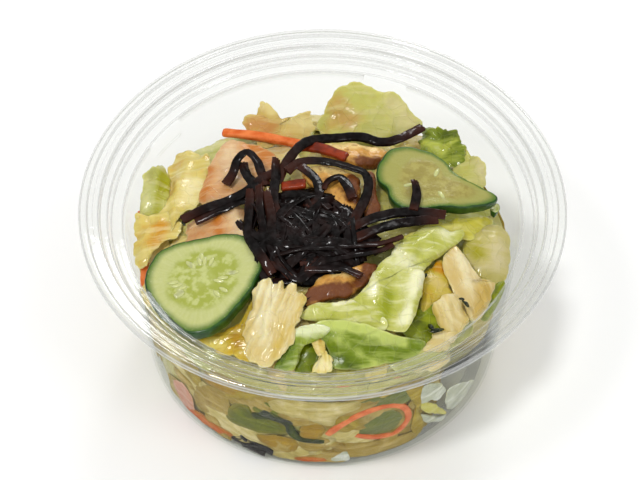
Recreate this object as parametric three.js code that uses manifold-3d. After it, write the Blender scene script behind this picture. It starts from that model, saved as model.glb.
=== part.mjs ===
// A clear deli cup filled with pickled cabbage and its toppings.
// Millimetres and degrees, +Z up. The cup stands on z = 0 with its axis on the Z axis,
// and azimuths count from -Y (the front) towards +X (the right).
import * as THREE from 'three';
import { mergeVertices } from 'three/addons/utils/BufferGeometryUtils.js';
import Module from 'manifold-3d';

const wasm = await Module();
wasm.setup();

// ---- driving dimensions: the cup ----
const CUP_HEIGHT = 54.2;
const RIM_RADIUS = 64.5;
const SHEET = 0.6;
const FOOT_RADIUS = 46.4;
const FOOT_WIDTH = 4;
const PANEL_RISE = 0.9;
const WALL_FOOT = { r: 48, z: 1.9 };
const WALL_TOP = { r: 52.7, z: 48.3 };
const LEDGE_EDGE = 56.0;
const LID_SEAT = { inner: 57.0, outer: 58.9, drop: 3.2 };
const FLANGE = { inner: 59.4, outer: 62.2, drop: 1.5 };
const LIP_DROP = 1.5;
const LUG = { azimuths: [161, 50, -55, -125], halfAngle: 7, depth: 1.1, height: 5.4 };
const CUP_SEGMENTS = 44;

// ---- driving dimensions: the filling ----
const GAP = 0.3;
const HEAP = { floor: 2.0, sideGap: 1.5, edge: 34.5, dome: 13, forwardLean: 1.5 };
const POCKET = { azimuth: 60, halfWidth: 17, depth: 9 };
const ROOM_ABOVE = 13;
const HEAP_SPOKES = 24;
const HEAP_RINGS = 4;
const LEAF_DETAIL = { spokes: 11, rings: 2 };
const TOLERANCE = { heap: 0.35, topping: 0.1, final: 0.03 };

const clearPlastic = { colour: '#e6e7e2', roughness: 0.08 };
const paleLeaf = { colour: '#c9cc86', roughness: 0.4 };
const kelpBlack = { colour: '#1c1210', roughness: 0.25 };
const cucumberFlesh = { colour: '#9db465', roughness: 0.35 };
const carrotOrange = { colour: '#e2702e', roughness: 0.35 };
const carrotStained = { colour: '#8a3314', roughness: 0.3 };
const tofuBrown = { colour: '#b98543', roughness: 0.5 };

// A sheet is a thin solid over a rim of [x, y, z] points. Its middle bulges up, and each fold
// [x0, y0, x1, y1, width, height] lifts it along a line.
const sheetShape = { thick: 1.3, bulge: 0.6, folds: [], middle: null };

const cabbageLeaves = {
  leafBack: {
    bulge: 1.2,
    folds: [[16, 47, 18, 36, 2.2, 0.7]],
    rim: [
      [-1.5, 40, 40], [1, 43.5, 43.5], [3, 46.5, 46], [5, 48.5, 47.5], [10, 49, 48], [15.5, 47, 47],
      [20.5, 46, 46.5], [23.5, 43.5, 44.5], [26, 41, 43], [27.5, 38.5, 41], [22.5, 34, 40],
      [13, 32, 40], [3.5, 32.5, 40],
    ],
  },
  leafBackLeft: {
    folds: [[-10, 41, -12, 33, 1.4, -0.8]],
    rim: [
      [-21, 40.5, 43], [-18.5, 41.5, 44], [-17, 44.5, 45.5], [-14.5, 42.5, 45], [-11, 40.5, 43.5],
      [-7.5, 40, 43.5], [-4.5, 41.5, 44], [-3, 40.5, 43], [-2, 37, 41.5], [-7.5, 32.5, 41],
      [-16.5, 31.5, 41], [-21, 35, 41.5],
    ],
  },
  leafLeftBack: {
    rim: [
      [-36.5, 31.5, 37.5], [-34, 33, 38], [-30.5, 35, 38.5], [-27.5, 34.5, 40], [-24, 34, 40.5],
      [-24.5, 29, 41], [-27.5, 22.5, 41.5], [-32, 17.5, 41.5], [-35.5, 20.5, 40],
    ],
  },
  stemLeftPink: {
    thick: 2,
    folds: [[-28, 29, -30, 10, 2.4, 1], [-20, 28, -22, 12, 2.5, -0.8]],
    rim: [
      [-25.5, 33, 41.5], [-21, 31, 43], [-15, 27, 44.5], [-12, 21.5, 46], [-16.5, 11, 46.5],
      [-22.5, 8.5, 46], [-29, 8, 44.5], [-33, 8.5, 43], [-32.5, 15, 43], [-31, 21, 43],
      [-28.5, 27.5, 42.5],
    ],
  },
  leafLeftMid: {
    folds: [[-37, 30, -39, 8, 1.8, 0.9], [-41, 26, -41, 14, 1.3, -0.9]],
    rim: [
      [-42.5, 27, 38], [-40.5, 29.5, 38], [-39, 32, 38], [-34.5, 30.5, 39.5], [-31, 27, 41],
      [-30, 18, 42.5], [-32, 10.5, 43], [-37.5, 6.5, 41.5], [-40.5, 0.5, 41], [-44.5, -0.5, 39],
      [-45.5, 6, 39], [-43, 12, 39], [-42.5, 20.5, 38],
    ],
  },
  leafLeftEdge: {
    folds: [[-45, 22, -46, 9, 1.5, 0.8]],
    rim: [
      [-48.5, 15.5, 43.5], [-48.5, 17.5, 46], [-46.5, 21, 43.5], [-44.5, 24.5, 41],
      [-42.5, 23.5, 39.5], [-41.5, 14.5, 40], [-43, 9.5, 40], [-46.5, 7.5, 39.5], [-49.5, 8.5, 40],
      [-49, 13, 41],
    ],
  },
  leafLeftFront: {
    rim: [
      [-50, 7.5, 40.5], [-47, 9, 38.5], [-42, 9, 39.5], [-38.5, 5.5, 41], [-39, -1.5, 41.5],
      [-44.5, -4, 39.5], [-47, -9, 37.5], [-49, -9, 37], [-50.5, -3, 37.5], [-50.5, 3, 39],
    ],
  },
  stemLeftInner: {
    thick: 2,
    folds: [[-23, 4, -20, -8, 1.5, 1]],
    rim: [
      [-36.5, 2.5, 41.5], [-31.5, 2.5, 44], [-26, 3.5, 46], [-20.5, 4.5, 46.5], [-17, -1, 46.5],
      [-15.5, -9, 46.5], [-21, -8.5, 44], [-29, -6, 43], [-35.5, -5, 42.5],
    ],
  },
  stemFan: {
    thick: 2.6,
    middle: [-13, -33],
    rim: [
      [-18.5, -27.5, 47], [-17.5, -24.5, 48], [-16, -22.5, 48.5], [-13.5, -21.5, 49],
      [-12.5, -23.5, 49], [-10.5, -23.5, 49], [-10, -25.5, 49], [-7.5, -24, 49.5], [-6, -26, 49.5],
      [-4.5, -28.5, 49.5], [-5.5, -33, 48], [-7, -38.5, 46.5], [-9.5, -42, 44.5], [-13, -45.5, 42],
      [-16.5, -44.5, 42], [-19.5, -42, 41.5], [-20, -36.5, 43], [-19.5, -32, 45],
    ],
  },
  leafLeftYellow: {
    rim: [
      [-18, -25.5, 44.5], [-20.5, -30.5, 43.5], [-24.5, -33, 42], [-29.5, -35, 40.5],
      [-32.5, -35.5, 40], [-28, -38, 39.5], [-23.5, -40.5, 39.5], [-19, -42.5, 40],
      [-15.5, -42, 41], [-15.5, -34, 43],
    ],
  },
  leafFrontGreen: {
    thick: 1.7,
    bulge: -0.8,
    folds: [[4, -38, 14, -43, 1.6, 0.7], [12, -38, 22, -40, 1.5, -0.5]],
    rim: [
      [-2, -34.7, 46.5], [5, -34, 47], [10, -35.3, 47], [16, -37, 46], [21, -37, 43.5],
      [26.5, -36.5, 41], [25.5, -39, 39.5], [20, -42, 40], [12.5, -44, 40], [5.5, -45, 40],
      [2.5, -44, 40.5], [1.5, -40, 42], [-1, -37.5, 44.5],
    ],
  },
  leafFrontArm: {
    thick: 1.7,
    middle: [-6, -38.5],
    rim: [
      [-7, -36.5, 46], [-2.5, -35, 46.5], [2, -35.5, 46], [1, -37.3, 45], [-1.5, -38.5, 44],
      [-4.5, -40, 43.5], [-6.5, -42.5, 42], [-7.5, -45, 40], [-12.5, -44.5, 40], [-10, -41.5, 43],
      [-8.5, -38.5, 45],
    ],
  },
  leafFrontHollow: {
    rim: [
      [-8, -43.5, 39], [-6.5, -38.5, 41.5], [-3, -35.5, 42.5], [2, -36, 42], [4, -40, 40],
      [3.5, -44, 39], [-2, -44.5, 38.5],
    ],
  },
  stemFrontBit: {
    thick: 1.8,
    bulge: 0.2,
    rim: [
      [-3, -38.5, 43.5], [-1.5, -38, 44], [0, -38, 43.5], [1, -41, 42.5], [3, -43, 42],
      [2.5, -45.5, 41], [-0.5, -46.5, 41], [-2.5, -46, 41], [-0.8, -43.5, 42], [-1.5, -41.5, 42.5],
    ],
  },
  leafCentreLobe: {
    thick: 1.6,
    rim: [
      [-5.5, -33, 46], [-5, -31, 47], [-3, -29.5, 47.5], [3, -29, 48], [8.5, -28, 48],
      [12.5, -30, 47.5], [16.5, -34.5, 47], [15, -36.5, 45.5], [8.5, -34.5, 45.5],
      [0.5, -33.5, 45.5],
    ],
  },
  leafCentreBig: {
    thick: 1.7,
    bulge: 1.4,
    middle: [21.5, -19],
    folds: [
      [25, -20, 21.5, -36, 1.7, 1.3],
      [19, -23, 17, -35, 2.2, -1.4],
      [13.5, -22, 15, -28, 1.5, 0.7],
      [30, -5, 20, -17, 2, 0.7],
      [26, -12, 24, -18, 1.3, -0.6],
    ],
    rim: [
      [21, -9, 49], [25.5, -5, 48.5], [30, -3.5, 48], [34, -4.5, 47.5], [37, -3.5, 46.5],
      [37, -6, 46], [33.5, -9.5, 46], [31, -12, 46], [28.5, -14.5, 46.5], [26.5, -19.5, 47.5],
      [25.5, -26.5, 47], [24, -31.5, 46], [21, -37, 45], [18, -37, 46], [14, -34.5, 47.5],
      [10, -32.5, 47.5], [7, -29.5, 48], [10, -26.5, 49], [12.5, -22, 49.5], [15, -18, 50],
      [18, -14, 50.5],
    ],
  },
  leafUpperRight: {
    folds: [[24, -7, 42, 2, 1.3, 0.8]],
    rim: [
      [21, -7.5, 48], [27, -3, 47.5], [32.5, 0, 46.5], [39, 2.5, 44.5], [44.5, 5, 42],
      [45, 2, 41.5], [40.5, -3.5, 43.5], [36, -5.5, 45], [28.5, -7, 45.5], [22.5, -9.5, 46.5],
    ],
  },
  leafRightWall: {
    bulge: 1.5,
    rim: [
      [37.5, -3, 43], [41, -1.5, 43], [44.5, 2.5, 42], [47.5, 2, 41.5], [49.7, -0.5, 41],
      [50, -5, 40.5], [49.5, -9.5, 39.5], [48, -15, 38.5], [43.5, -16.5, 39], [40, -13, 41],
      [37.5, -8.5, 42.5],
    ],
  },
  stemRightLong: {
    thick: 2.2,
    middle: [38.5, -19],
    rim: [
      [34, -8, 46], [36, -9, 45.5], [38, -12.5, 44.5], [40.5, -16, 43.5], [42.5, -18, 42.5],
      [45, -17.5, 41.5], [44.5, -21, 40.5], [42.5, -26, 40], [39, -29, 40], [37, -25.5, 42],
      [34.5, -22.5, 43.5], [32.5, -19, 45], [31.5, -14.5, 46],
    ],
  },
  stemRightShort: {
    thick: 2.2,
    rim: [
      [28.5, -27, 44.5], [30, -25.5, 45], [32, -24, 45], [34.5, -23.5, 44], [36.5, -26, 42],
      [38, -29.5, 41], [35.5, -33, 40.5], [32.5, -34.5, 40], [30.5, -32.5, 41.5], [29.5, -30, 43],
    ],
  },
  leafRightFold: {
    rim: [
      [25.5, -25.5, 44.5], [26, -20.5, 45.5], [28, -15.5, 45.5], [31, -12.5, 45], [32.5, -17, 44.5],
      [34, -21.5, 43.5], [31.5, -25, 43], [29, -27.5, 42.5], [26.5, -29.5, 42],
    ],
  },
  leafDeepGreen: {
    rim: [
      [20.5, -36, 42.5], [23, -30.5, 43], [26.5, -25.5, 43.5], [30.5, -25, 42.5], [33, -29.5, 40.5],
      [31.5, -34, 39.5], [26.5, -36.5, 39.5],
    ],
  },
  stemFrontRight: {
    thick: 1.8,
    rim: [
      [26, -38.5, 39.5], [27, -36, 40.5], [29, -34.5, 41], [32, -33.5, 41], [35, -33, 40.5],
      [34.5, -35.5, 39.5], [30.5, -37.8, 39],
    ],
  },
  leafBackGreen: {
    folds: [[29, 32, 37, 33, 1.2, 0.8]],
    rim: [
      [27, 36.5, 39.5], [28, 40, 38.5], [30, 40, 39], [32.5, 38.5, 41], [34.5, 37.2, 42.5],
      [36.5, 35.3, 42.5], [38, 33.5, 41], [39.7, 30.7, 41], [39.5, 27, 38.5], [35.5, 25.5, 39],
      [31, 28, 39.5], [27, 32, 39.5],
    ],
  },
  leafBackRight: {
    rim: [
      [37.5, 33.2, 38], [39.5, 31.2, 40], [41, 29.2, 40], [43, 26.7, 42], [44.2, 24, 41.5],
      [44.8, 21.5, 40], [44, 18, 38.5], [39.5, 17.5, 39], [36, 21, 39], [36.5, 28, 38.5],
    ],
  },
  leafUnderTofu: {
    rim: [
      [-9, 9, 47], [-8, 18, 46], [-3, 26, 45], [6, 29, 44.5], [15, 26.5, 44.5], [19, 17, 45.5],
      [12, 5, 47], [0, 2, 47.5],
    ],
  },
  leafUnderKelp: {
    rim: [
      [8, 16, 46], [20, 18, 46], [30, 8, 45], [28, -4, 46], [16, -10, 47], [6, -4, 46],
    ],
  },
  leafFrontRight: {
    rim: [
      [18, -40, 40], [28, -36.5, 40], [37, -30, 39.5], [40, -27, 38.5], [37, -33, 37],
      [27, -41, 37], [19, -45, 38],
    ],
  },
  leafRightLow: {
    rim: [
      [42, -19, 39.5], [46, -16, 39.5], [48, -15, 39], [47.5, -20, 38], [44, -26, 37.5],
      [41, -27, 38.5],
    ],
  },
};

// Leaves pressed against the wall, spread by a rule over two rows.
const WALL_LEAF = { rows: [12, 28], perRow: 9, long: 30, wide: 18, ragged: 0.2, thick: 1.2, inset: 1.1 };

const cucumberSlice = { thick: 3.2, bulge: 0.2 };
const slices = {
  cucumber_left: {
    rim: [
      [-46.5, -18.5, 42.5], [-46, -14.5, 42.5], [-43.5, -9.5, 43], [-37.5, -6.5, 44],
      [-31.5, -6, 45], [-25.5, -5, 46], [-20.5, -6.5, 46.5], [-16.5, -9.5, 47], [-15, -15, 47.5],
      [-17, -22, 47], [-20.5, -28.5, 46.5], [-25, -34, 45.5], [-30.5, -37.5, 44.5],
      [-36, -36, 43.5], [-41.5, -30.5, 43], [-45.5, -24, 42.5],
    ],
  },
  cucumber_right: {
    bulge: 0.5,
    folds: [[38, 12, 32, 1, 3, 0.6]],
    rim: [
      [14.5, 13.5, 50], [15.5, 16.5, 51], [17.5, 19.5, 51.5], [22, 21, 51.5], [27.5, 20, 51],
      [32.5, 17, 50], [36.5, 12, 49], [42, 10, 47.5], [46.5, 7.5, 46], [44, 4.5, 46.5], [37, 2, 48],
      [29, 1, 49], [22, 0.5, 49.5], [18.5, 3, 49.5], [17, 7.5, 49.5], [14.8, 10.5, 49.5],
    ],
  },
};
const cucumberEnd = {
  thick: 1.8,
  bulge: 0.1,
  rim: [
    [46.2, 4.6, 43.2], [47.3, 6.8, 42.4], [47, 8.7, 42.2], [45.6, 8.2, 42.6], [45, 6, 43],
  ],
};

const tofuSkin = { thick: 3, bulge: 0.5 };
const tofuPieces = {
  tofu_back: {
    rim: [
      [-0.5, 23, 49], [4.5, 25, 48.5], [11, 25, 48], [16, 24.5, 47.5], [17, 22, 47.5],
      [14.5, 18, 48], [10, 17.5, 48.5], [4, 19, 49],
    ],
  },
  tofu_mid: {
    rim: [
      [-5.5, 15, 50], [0, 16, 50], [7, 13.5, 50], [10, 9, 50], [9.5, 2, 50], [6, 0, 50], [0, 5, 50],
      [-4, 10, 50],
    ],
  },
  tofu_side: {
    thick: 2,
    rim: [
      [12, 14.5, 49.5], [13.5, 14.5, 49.5], [14, 8, 49], [15, 2, 48.5], [13.5, -2.5, 48.5],
      [11.5, -2.5, 49], [10.5, 2, 49.5], [11, 8, 49.5],
    ],
  },
  tofu_front: {
    rim: [
      [-5, -26.5, 47.5], [-2.5, -23.5, 48], [-1, -21.5, 48], [4.5, -20.5, 48.5], [9, -18, 49],
      [13.5, -16.5, 49], [14.5, -17.5, 48.5], [11.5, -23, 48], [7.5, -26.5, 47.5], [0.5, -28, 47],
      [-4, -29, 47],
    ],
  },
};

const strips = {
  carrot_top: { route: [[-27.5, 36.5, 41.3], [-16.5, 33.5, 42.8], [-5, 29, 44.4]], wide: 2.6, thick: 1.7 },
  carrot_left_a: { route: [[-49, 9.5, 39.2], [-49.2, 5, 37]], wide: 2, thick: 1.4 },
  carrot_left_b: { route: [[-47.6, -6, 36.6], [-47.6, -13, 34.2]], wide: 2, thick: 1.4 },
};
const stainedStrips = {
  carrot_stained_a: { route: [[-6, 24.3, 49], [-0.5, 22.8, 49.9], [6.5, 18.8, 50.6]], wide: 3, thick: 1.6 },
  carrot_stained_b: { route: [[-11, 8.5, 50.4], [-4.5, 8.5, 51.8]], wide: 3, thick: 1.6 },
};

// What shows through the front wall, as azimuth, height and depth from the wall.
const wallStrips = {
  carrot_wall: { wall: [[1.5, 16.5], [7, 22.5], [13.5, 26.2], [20.5, 26.8], [26, 22.5], [27.8, 16],
    [24, 11.3], [17, 12], [10.5, 15]], wide: 2, thick: 1.1, material: carrotOrange },
  cucumber_wall: { wall: [[-22, 21], [-16.5, 22.5], [-11, 21], [-9.6, 16.5], [-6.5, 13.7], [0.5, 13]],
    wide: 2.4, thick: 1.1, material: cucumberFlesh },
  kelp_wall: { wall: [[-31, 4], [-26.5, 4.8], [-22, 4.4], [-16.8, 4]], wide: 4, thick: 1.1,
    material: kelpBlack },
};

const KELP = { wide: 2.8, thick: 1.1 };
const KELP_MASS = { at: [-3, -6.5], radius: [16.5, 16], floor: 44, height: 8.6, spokes: 18, rings: 3 };
const KELP_LOOPS = { count: 4, reach: 8.5, spread: 9, lift: 0.5 };
// Long strands of seaweed, each with its width and route.
const kelpRoutes = [
  { wide: 2.7, route: [[-12, 9.5, 51], [-10, 15, 52], [-7, 20.5, 52], [-3.5, 24.6, 51],
    [3.5, 29, 47.2], [10.5, 30.5, 46], [16, 29, 45.5], [21.5, 30.6, 45.5], [27.5, 36, 44]] },
  { wide: 3.4, route: [[-37.5, 1, 45.5], [-31.5, 3.5, 47], [-25.5, 5, 48.5], [-20.5, 7, 50],
    [-16, 10.5, 51.5], [-12.5, 12.5, 52]] },
  { wide: 1.8, route: [[-34, 1, 45], [-27, 3, 47.5], [-21, 4, 49.5], [-17.5, 1.5, 50.5],
    [-15.5, -4.5, 51]] },
  { wide: 1.9, route: [[-26, 12.4, 47.2], [-24, 16, 48], [-23, 18.5, 50], [-20.5, 20.5, 51],
    [-18, 17.5, 51.5], [-16.5, 13, 51.5], [-15, 8.5, 51]] },
  { wide: 3, route: [[-21.5, 18.5, 48.5], [-20.5, 13.5, 50], [-18.5, 9, 51], [-16, 3.5, 51.5]] },
  { wide: 2.8, route: [[-12.5, 16.5, 53], [-12.5, 10, 53], [-13, 3.5, 52.5], [-12, -3, 52]] },
  { wide: 2.8, route: [[-19, 7, 51], [-19.5, -0.5, 50.5], [-19.5, -7.5, 49], [-16, -15.4, 50.2],
    [-13, -20, 48.5]] },
  { wide: 2.8, route: [[-17, 7.5, 52], [-16.5, -1.5, 52], [-15, -9, 51], [-12, -16, 50],
    [-8, -21.5, 49]] },
  { wide: 2.6, route: [[-15, 5, 52.5], [-13.5, -3.5, 52.5], [-13, -10, 52], [-9, -14.5, 51.5],
    [-4.5, -15.5, 51.5], [1.5, -13.5, 52], [8.5, -13, 51.5], [16, -11.5, 51], [21, -9.6, 51.3]] },
  { wide: 2.6, route: [[-9.5, 12, 53], [-5.5, 15.5, 53.5], [1, 15.5, 53.5], [7, 13.5, 53],
    [11.5, 11, 52.5], [12, 5.5, 52], [9.5, -1.5, 52], [6.5, -8, 52]] },
  { wide: 2.4, route: [[-6, 14, 52.5], [-2, 9.5, 53], [-1, 3.5, 53], [-4.5, -0.5, 53]] },
  { wide: 2.3, route: [[0, 5.5, 52.6], [1.5, 8.5, 53.5], [4.5, 10, 53.5], [6.5, 7, 53],
    [8, 2.4, 52.7]] },
  { wide: 3.2, route: [[7, -7.5, 52], [13, -4, 52], [20, -1.5, 51.5], [27, -1, 51],
    [32.5, -1.5, 50.5]] },
  { wide: 3, route: [[8.5, -10.5, 51.5], [15, -7, 51.5], [21.5, -4.5, 51], [30.5, -2.5, 50]] },
  { wide: 3, route: [[-6, -17.5, 50.5], [1, -17, 51], [7.5, -15.5, 51], [14.5, -14, 50.8],
    [18.5, -12.5, 51.4]] },
  { wide: 2.2, route: [[-4.5, -19.5, 50], [1, -20, 50.6], [5.5, -20.5, 51.2], [10, -22.9, 51.2]] },
  { wide: 2.4, route: [[-14, -16.5, 49], [-10, -19, 49.5], [-7, -22, 49], [-4.5, -21.5, 49.5],
    [-2.5, -17.5, 50.5]] },
  { wide: 2.3, route: [[24.5, 8.5, 52.9], [25, 4.3, 52.5], [24, -1, 52]] },
  { wide: 1.8, route: [[-9, -17, 50], [-6, -16.5, 51], [-1.5, -14.5, 52]] },
];

// ---- small helpers ----
const radians = THREE.MathUtils.degToRad;

function shell(points, triangles) {
  const geometry = new THREE.BufferGeometry();
  geometry.setAttribute('position', new THREE.Float32BufferAttribute(points.flat(), 3));
  geometry.setIndex(triangles.flat());
  return geometry;
}

function toSolid(geometry) {
  const bare = new THREE.BufferGeometry();
  bare.setAttribute('position', geometry.getAttribute('position'));
  bare.setIndex(geometry.getIndex());
  const welded = mergeVertices(bare, 1e-4);
  const vertProperties = new Float32Array(welded.getAttribute('position').array);
  const triVerts = new Uint32Array(welded.getIndex().array);
  return new wasm.Manifold(new wasm.Mesh({ numProp: 3, vertProperties, triVerts }));
}

function toGeometry(solid) {
  const mesh = largestPart(solid.simplify(TOLERANCE.final)).getMesh();
  const points = [];
  for (let i = 0; i < mesh.vertProperties.length; i += mesh.numProp) {
    points.push(Array.from(mesh.vertProperties.subarray(i, i + 3)));
  }
  return shell(points, [Array.from(mesh.triVerts)]);
}

function largestPart(solid) {
  const parts = solid.decompose();
  parts.sort((a, b) => b.volume() - a.volume());
  return parts[0];
}

// ---- the cup ----
function cupLine() {
  const footInner = FOOT_RADIUS - FOOT_WIDTH;
  const middle = SHEET / 2;
  const seat = CUP_HEIGHT - LID_SEAT.drop;
  const flange = CUP_HEIGHT - FLANGE.drop;
  const top = CUP_HEIGHT - middle;
  const lip = RIM_RADIUS - middle;
  const lugFoot = WALL_TOP.z - LUG.height;
  return [
    [0, PANEL_RISE + middle],
    [footInner - 1.6, PANEL_RISE + middle],
    [footInner, middle],
    [FOOT_RADIUS - 0.6, middle],
    [WALL_FOOT.r, WALL_FOOT.z],
    [wallRadius(lugFoot), lugFoot],
    [wallRadius(lugFoot + 1.4), lugFoot + 1.4],
    [WALL_TOP.r, WALL_TOP.z],
    [WALL_TOP.r + 0.7, WALL_TOP.z + 0.4],
    [LEDGE_EDGE, WALL_TOP.z + 0.5],
    [LID_SEAT.inner, seat],
    [LID_SEAT.outer, seat + 0.3],
    [FLANGE.inner, flange],
    [FLANGE.outer, flange + 0.2],
    [FLANGE.outer + 0.5, top - 0.2],
    [lip - 0.5, top],
    [lip, top - 0.5],
    [lip, CUP_HEIGHT - LIP_DROP],
  ];
}

function wallRadius(z) {
  const t = (z - WALL_FOOT.z) / (WALL_TOP.z - WALL_FOOT.z);
  return WALL_FOOT.r + t * (WALL_TOP.r - WALL_FOOT.r);
}

// Moves a line of [r, z] points sideways, to its left where distance is positive.
function offsetLine(line, distance) {
  return line.map((point, i) => {
    const before = line[Math.max(i - 1, 0)];
    const after = line[Math.min(i + 1, line.length - 1)];
    const a = unitNormal(i > 0 ? before : point, i > 0 ? point : after);
    const b = unitNormal(i < line.length - 1 ? point : before, i < line.length - 1 ? after : point);
    const reach = distance / (1 + a[0] * b[0] + a[1] * b[1]);
    return [point[0] + (a[0] + b[0]) * reach, point[1] + (a[1] + b[1]) * reach];
  });
}

function unitNormal(from, to) {
  const dr = to[0] - from[0];
  const dz = to[1] - from[1];
  const size = Math.hypot(dr, dz);
  return [-dz / size, dr / size];
}

// Presses the lugs into a turned shape; margin widens them, for the room they take up.
function pressLugs(geometry, margin = 0) {
  const position = geometry.getAttribute('position');
  for (let i = 0; i < position.count; i += 1) {
    const point = new THREE.Vector3().fromBufferAttribute(position, i);
    if (onLug(point, margin)) {
      const shrink = 1 - LUG.depth / Math.hypot(point.x, point.y);
      position.setXYZ(i, point.x * shrink, point.y * shrink, point.z);
    }
  }
}

function onLug(point, margin) {
  const radius = Math.hypot(point.x, point.y);
  const azimuth = THREE.MathUtils.radToDeg(Math.atan2(point.x, -point.y));
  const halfAngle = LUG.halfAngle + margin * (360 / CUP_SEGMENTS);
  const nearLug = LUG.azimuths.some((lug) => {
    const turn = THREE.MathUtils.euclideanModulo(azimuth - lug + 180, 360) - 180;
    return Math.abs(turn) < halfAngle;
  });
  return nearLug && point.z > WALL_TOP.z - LUG.height + 0.9 - margin && radius < LEDGE_EDGE - 1;
}

function cupGeometry() {
  const line = cupLine();
  const inside = offsetLine(line, SHEET / 2);
  const outside = offsetLine(line, -SHEET / 2).reverse();
  const profile = [...inside, ...outside].map(([r, z]) => new THREE.Vector2(Math.max(r, 0), z));
  profile.reverse();
  const geometry = new THREE.LatheGeometry(profile, CUP_SEGMENTS);
  geometry.rotateX(Math.PI / 2);
  pressLugs(geometry);
  return geometry;
}

// ---- sheets: leaves, slices and tofu ----
// Even points on a smooth closed curve through the rim, anticlockwise seen from above.
function closedRim(rim, count) {
  const area = rim.reduce((sum, [x, y], i) => {
    const [nextX, nextY] = rim[(i + 1) % rim.length];
    return sum + x * nextY - nextX * y;
  }, 0);
  const points = (area < 0 ? [...rim].reverse() : rim).map((point) => new THREE.Vector3(...point));
  const curve = new THREE.CatmullRomCurve3(points, true, 'catmullrom', 0.5);
  curve.arcLengthDivisions = 16 * rim.length;
  return curve.getSpacedPoints(count).slice(0, count);
}

// The plane z = height + x * slopeX + y * slopeY that lies closest to the points.
function nearestPlane(points) {
  const mean = points.reduce((sum, point) => sum.add(point), new THREE.Vector3())
    .divideScalar(points.length);
  const sums = { xx: 0, xy: 0, yy: 0, xz: 0, yz: 0 };
  for (const point of points) {
    const [x, y, z] = point.clone().sub(mean).toArray();
    sums.xx += x * x;
    sums.xy += x * y;
    sums.yy += y * y;
    sums.xz += x * z;
    sums.yz += y * z;
  }
  const scale = sums.xx * sums.yy - sums.xy * sums.xy;
  const slopeX = (sums.xz * sums.yy - sums.yz * sums.xy) / scale;
  const slopeY = (sums.yz * sums.xx - sums.xz * sums.xy) / scale;
  return {
    mean,
    normal: new THREE.Vector3(-slopeX, -slopeY, 1).normalize(),
    height: (x, y) => mean.z + slopeX * (x - mean.x) + slopeY * (y - mean.y),
  };
}

// How far the folds lift a sheet at x, y.
function foldLift(folds, x, y) {
  return folds.reduce((sum, [x0, y0, x1, y1, width, height]) => {
    const leg = new THREE.Line3(new THREE.Vector3(x0, y0, 0), new THREE.Vector3(x1, y1, 0));
    const point = new THREE.Vector3(x, y, 0);
    const near = leg.closestPointToPoint(point, true, new THREE.Vector3());
    return sum + height * Math.exp(-near.distanceToSquared(point) / width ** 2);
  }, 0);
}

function sheetGeometry(shape, { spokes = 14, rings = 2, grow = 0, place = (point) => point } = {}) {
  const sheet = { ...sheetShape, ...shape };
  const rim = closedRim(sheet.rim, spokes);
  const plane = nearestPlane(rim);
  const [midX, midY] = sheet.middle ?? [plane.mean.x, plane.mean.y];
  const point = (rho, spoke, side) => {
    const edge = rim[spoke];
    const arm = new THREE.Vector2(edge.x - midX, edge.y - midY);
    const reach = rho * (1 + grow / arm.length());
    const [x, y] = [midX + reach * arm.x, midY + reach * arm.y];
    const lift = rho * rho * (edge.z - plane.height(edge.x, edge.y));
    const z = plane.height(x, y) + sheet.bulge * (1 - rho * rho) + lift;
    const off = foldLift(sheet.folds, x, y) + side * (sheet.thick / 2 + grow);
    return place(new THREE.Vector3(x, y, z).addScaledVector(plane.normal, off).toArray());
  };
  const points = [];
  for (const side of [1, -1]) {
    points.push(point(0, 0, side));
    for (let r = 1; r <= rings; r += 1) {
      for (let s = 0; s < spokes; s += 1) {
        points.push(point(r / rings, s, side));
      }
    }
  }
  return shell(points, discTriangles(spokes, rings));
}

// The rim of a small cut leaf: a rounded oblong with an uneven outline.
function ovalRim({ long, wide, ragged, seed }) {
  const square = 2.6;
  const corners = 12;
  return Array.from({ length: corners }, (_, i) => {
    const angle = (2 * Math.PI * i) / corners;
    const across = Math.abs(Math.cos(angle)) ** square + Math.abs(Math.sin(angle)) ** square;
    const reach = across ** (-1 / square) * (1 + ragged * wobble(seed, angle));
    return [reach * Math.cos(angle) * (long / 2), reach * Math.sin(angle) * (wide / 2), 0];
  });
}

function wobble(seed, angle) {
  return 0.5 * Math.sin(2 * angle + seed)
    + 0.3 * Math.sin(3 * angle + 2.1 * seed)
    + 0.2 * Math.sin(5 * angle + 3.7 * seed);
}

function discTriangles(spokes, rings) {
  const faceSize = 1 + spokes * rings;
  const index = (ring, spoke) => (ring === 0 ? 0 : 1 + (ring - 1) * spokes + (spoke % spokes));
  const triangles = [];
  for (let s = 0; s < spokes; s += 1) {
    triangles.push([0, index(1, s), index(1, s + 1)]);
    triangles.push([faceSize, faceSize + index(1, s + 1), faceSize + index(1, s)]);
    for (let r = 1; r < rings; r += 1) {
      const [a, b, c, d] = [index(r, s), index(r + 1, s), index(r + 1, s + 1), index(r, s + 1)];
      triangles.push([a, b, c], [a, c, d]);
      triangles.push([faceSize + a, faceSize + c, faceSize + b]);
      triangles.push([faceSize + a, faceSize + d, faceSize + c]);
    }
    const [rim, next] = [index(rings, s), index(rings, s + 1)];
    triangles.push([rim, faceSize + rim, faceSize + next], [rim, faceSize + next, next]);
  }
  return triangles;
}

function wallPoint(azimuth, z, inset) {
  const radius = wallRadius(z) - SHEET / 2 - inset;
  return [radius * Math.sin(radians(azimuth)), -radius * Math.cos(radians(azimuth)), z];
}

// Lays flat points against the wall: x along it, y up it, z towards it.
function onWall(azimuth, height, tilt) {
  return ([x, y, rise]) => {
    const z = height + y * Math.cos(radians(tilt)) + x * Math.sin(radians(tilt));
    const along = x * Math.cos(radians(tilt)) - y * Math.sin(radians(tilt));
    const turn = azimuth + THREE.MathUtils.radToDeg(along / wallRadius(z));
    return wallPoint(turn, z, WALL_LEAF.inset - rise);
  };
}

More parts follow.
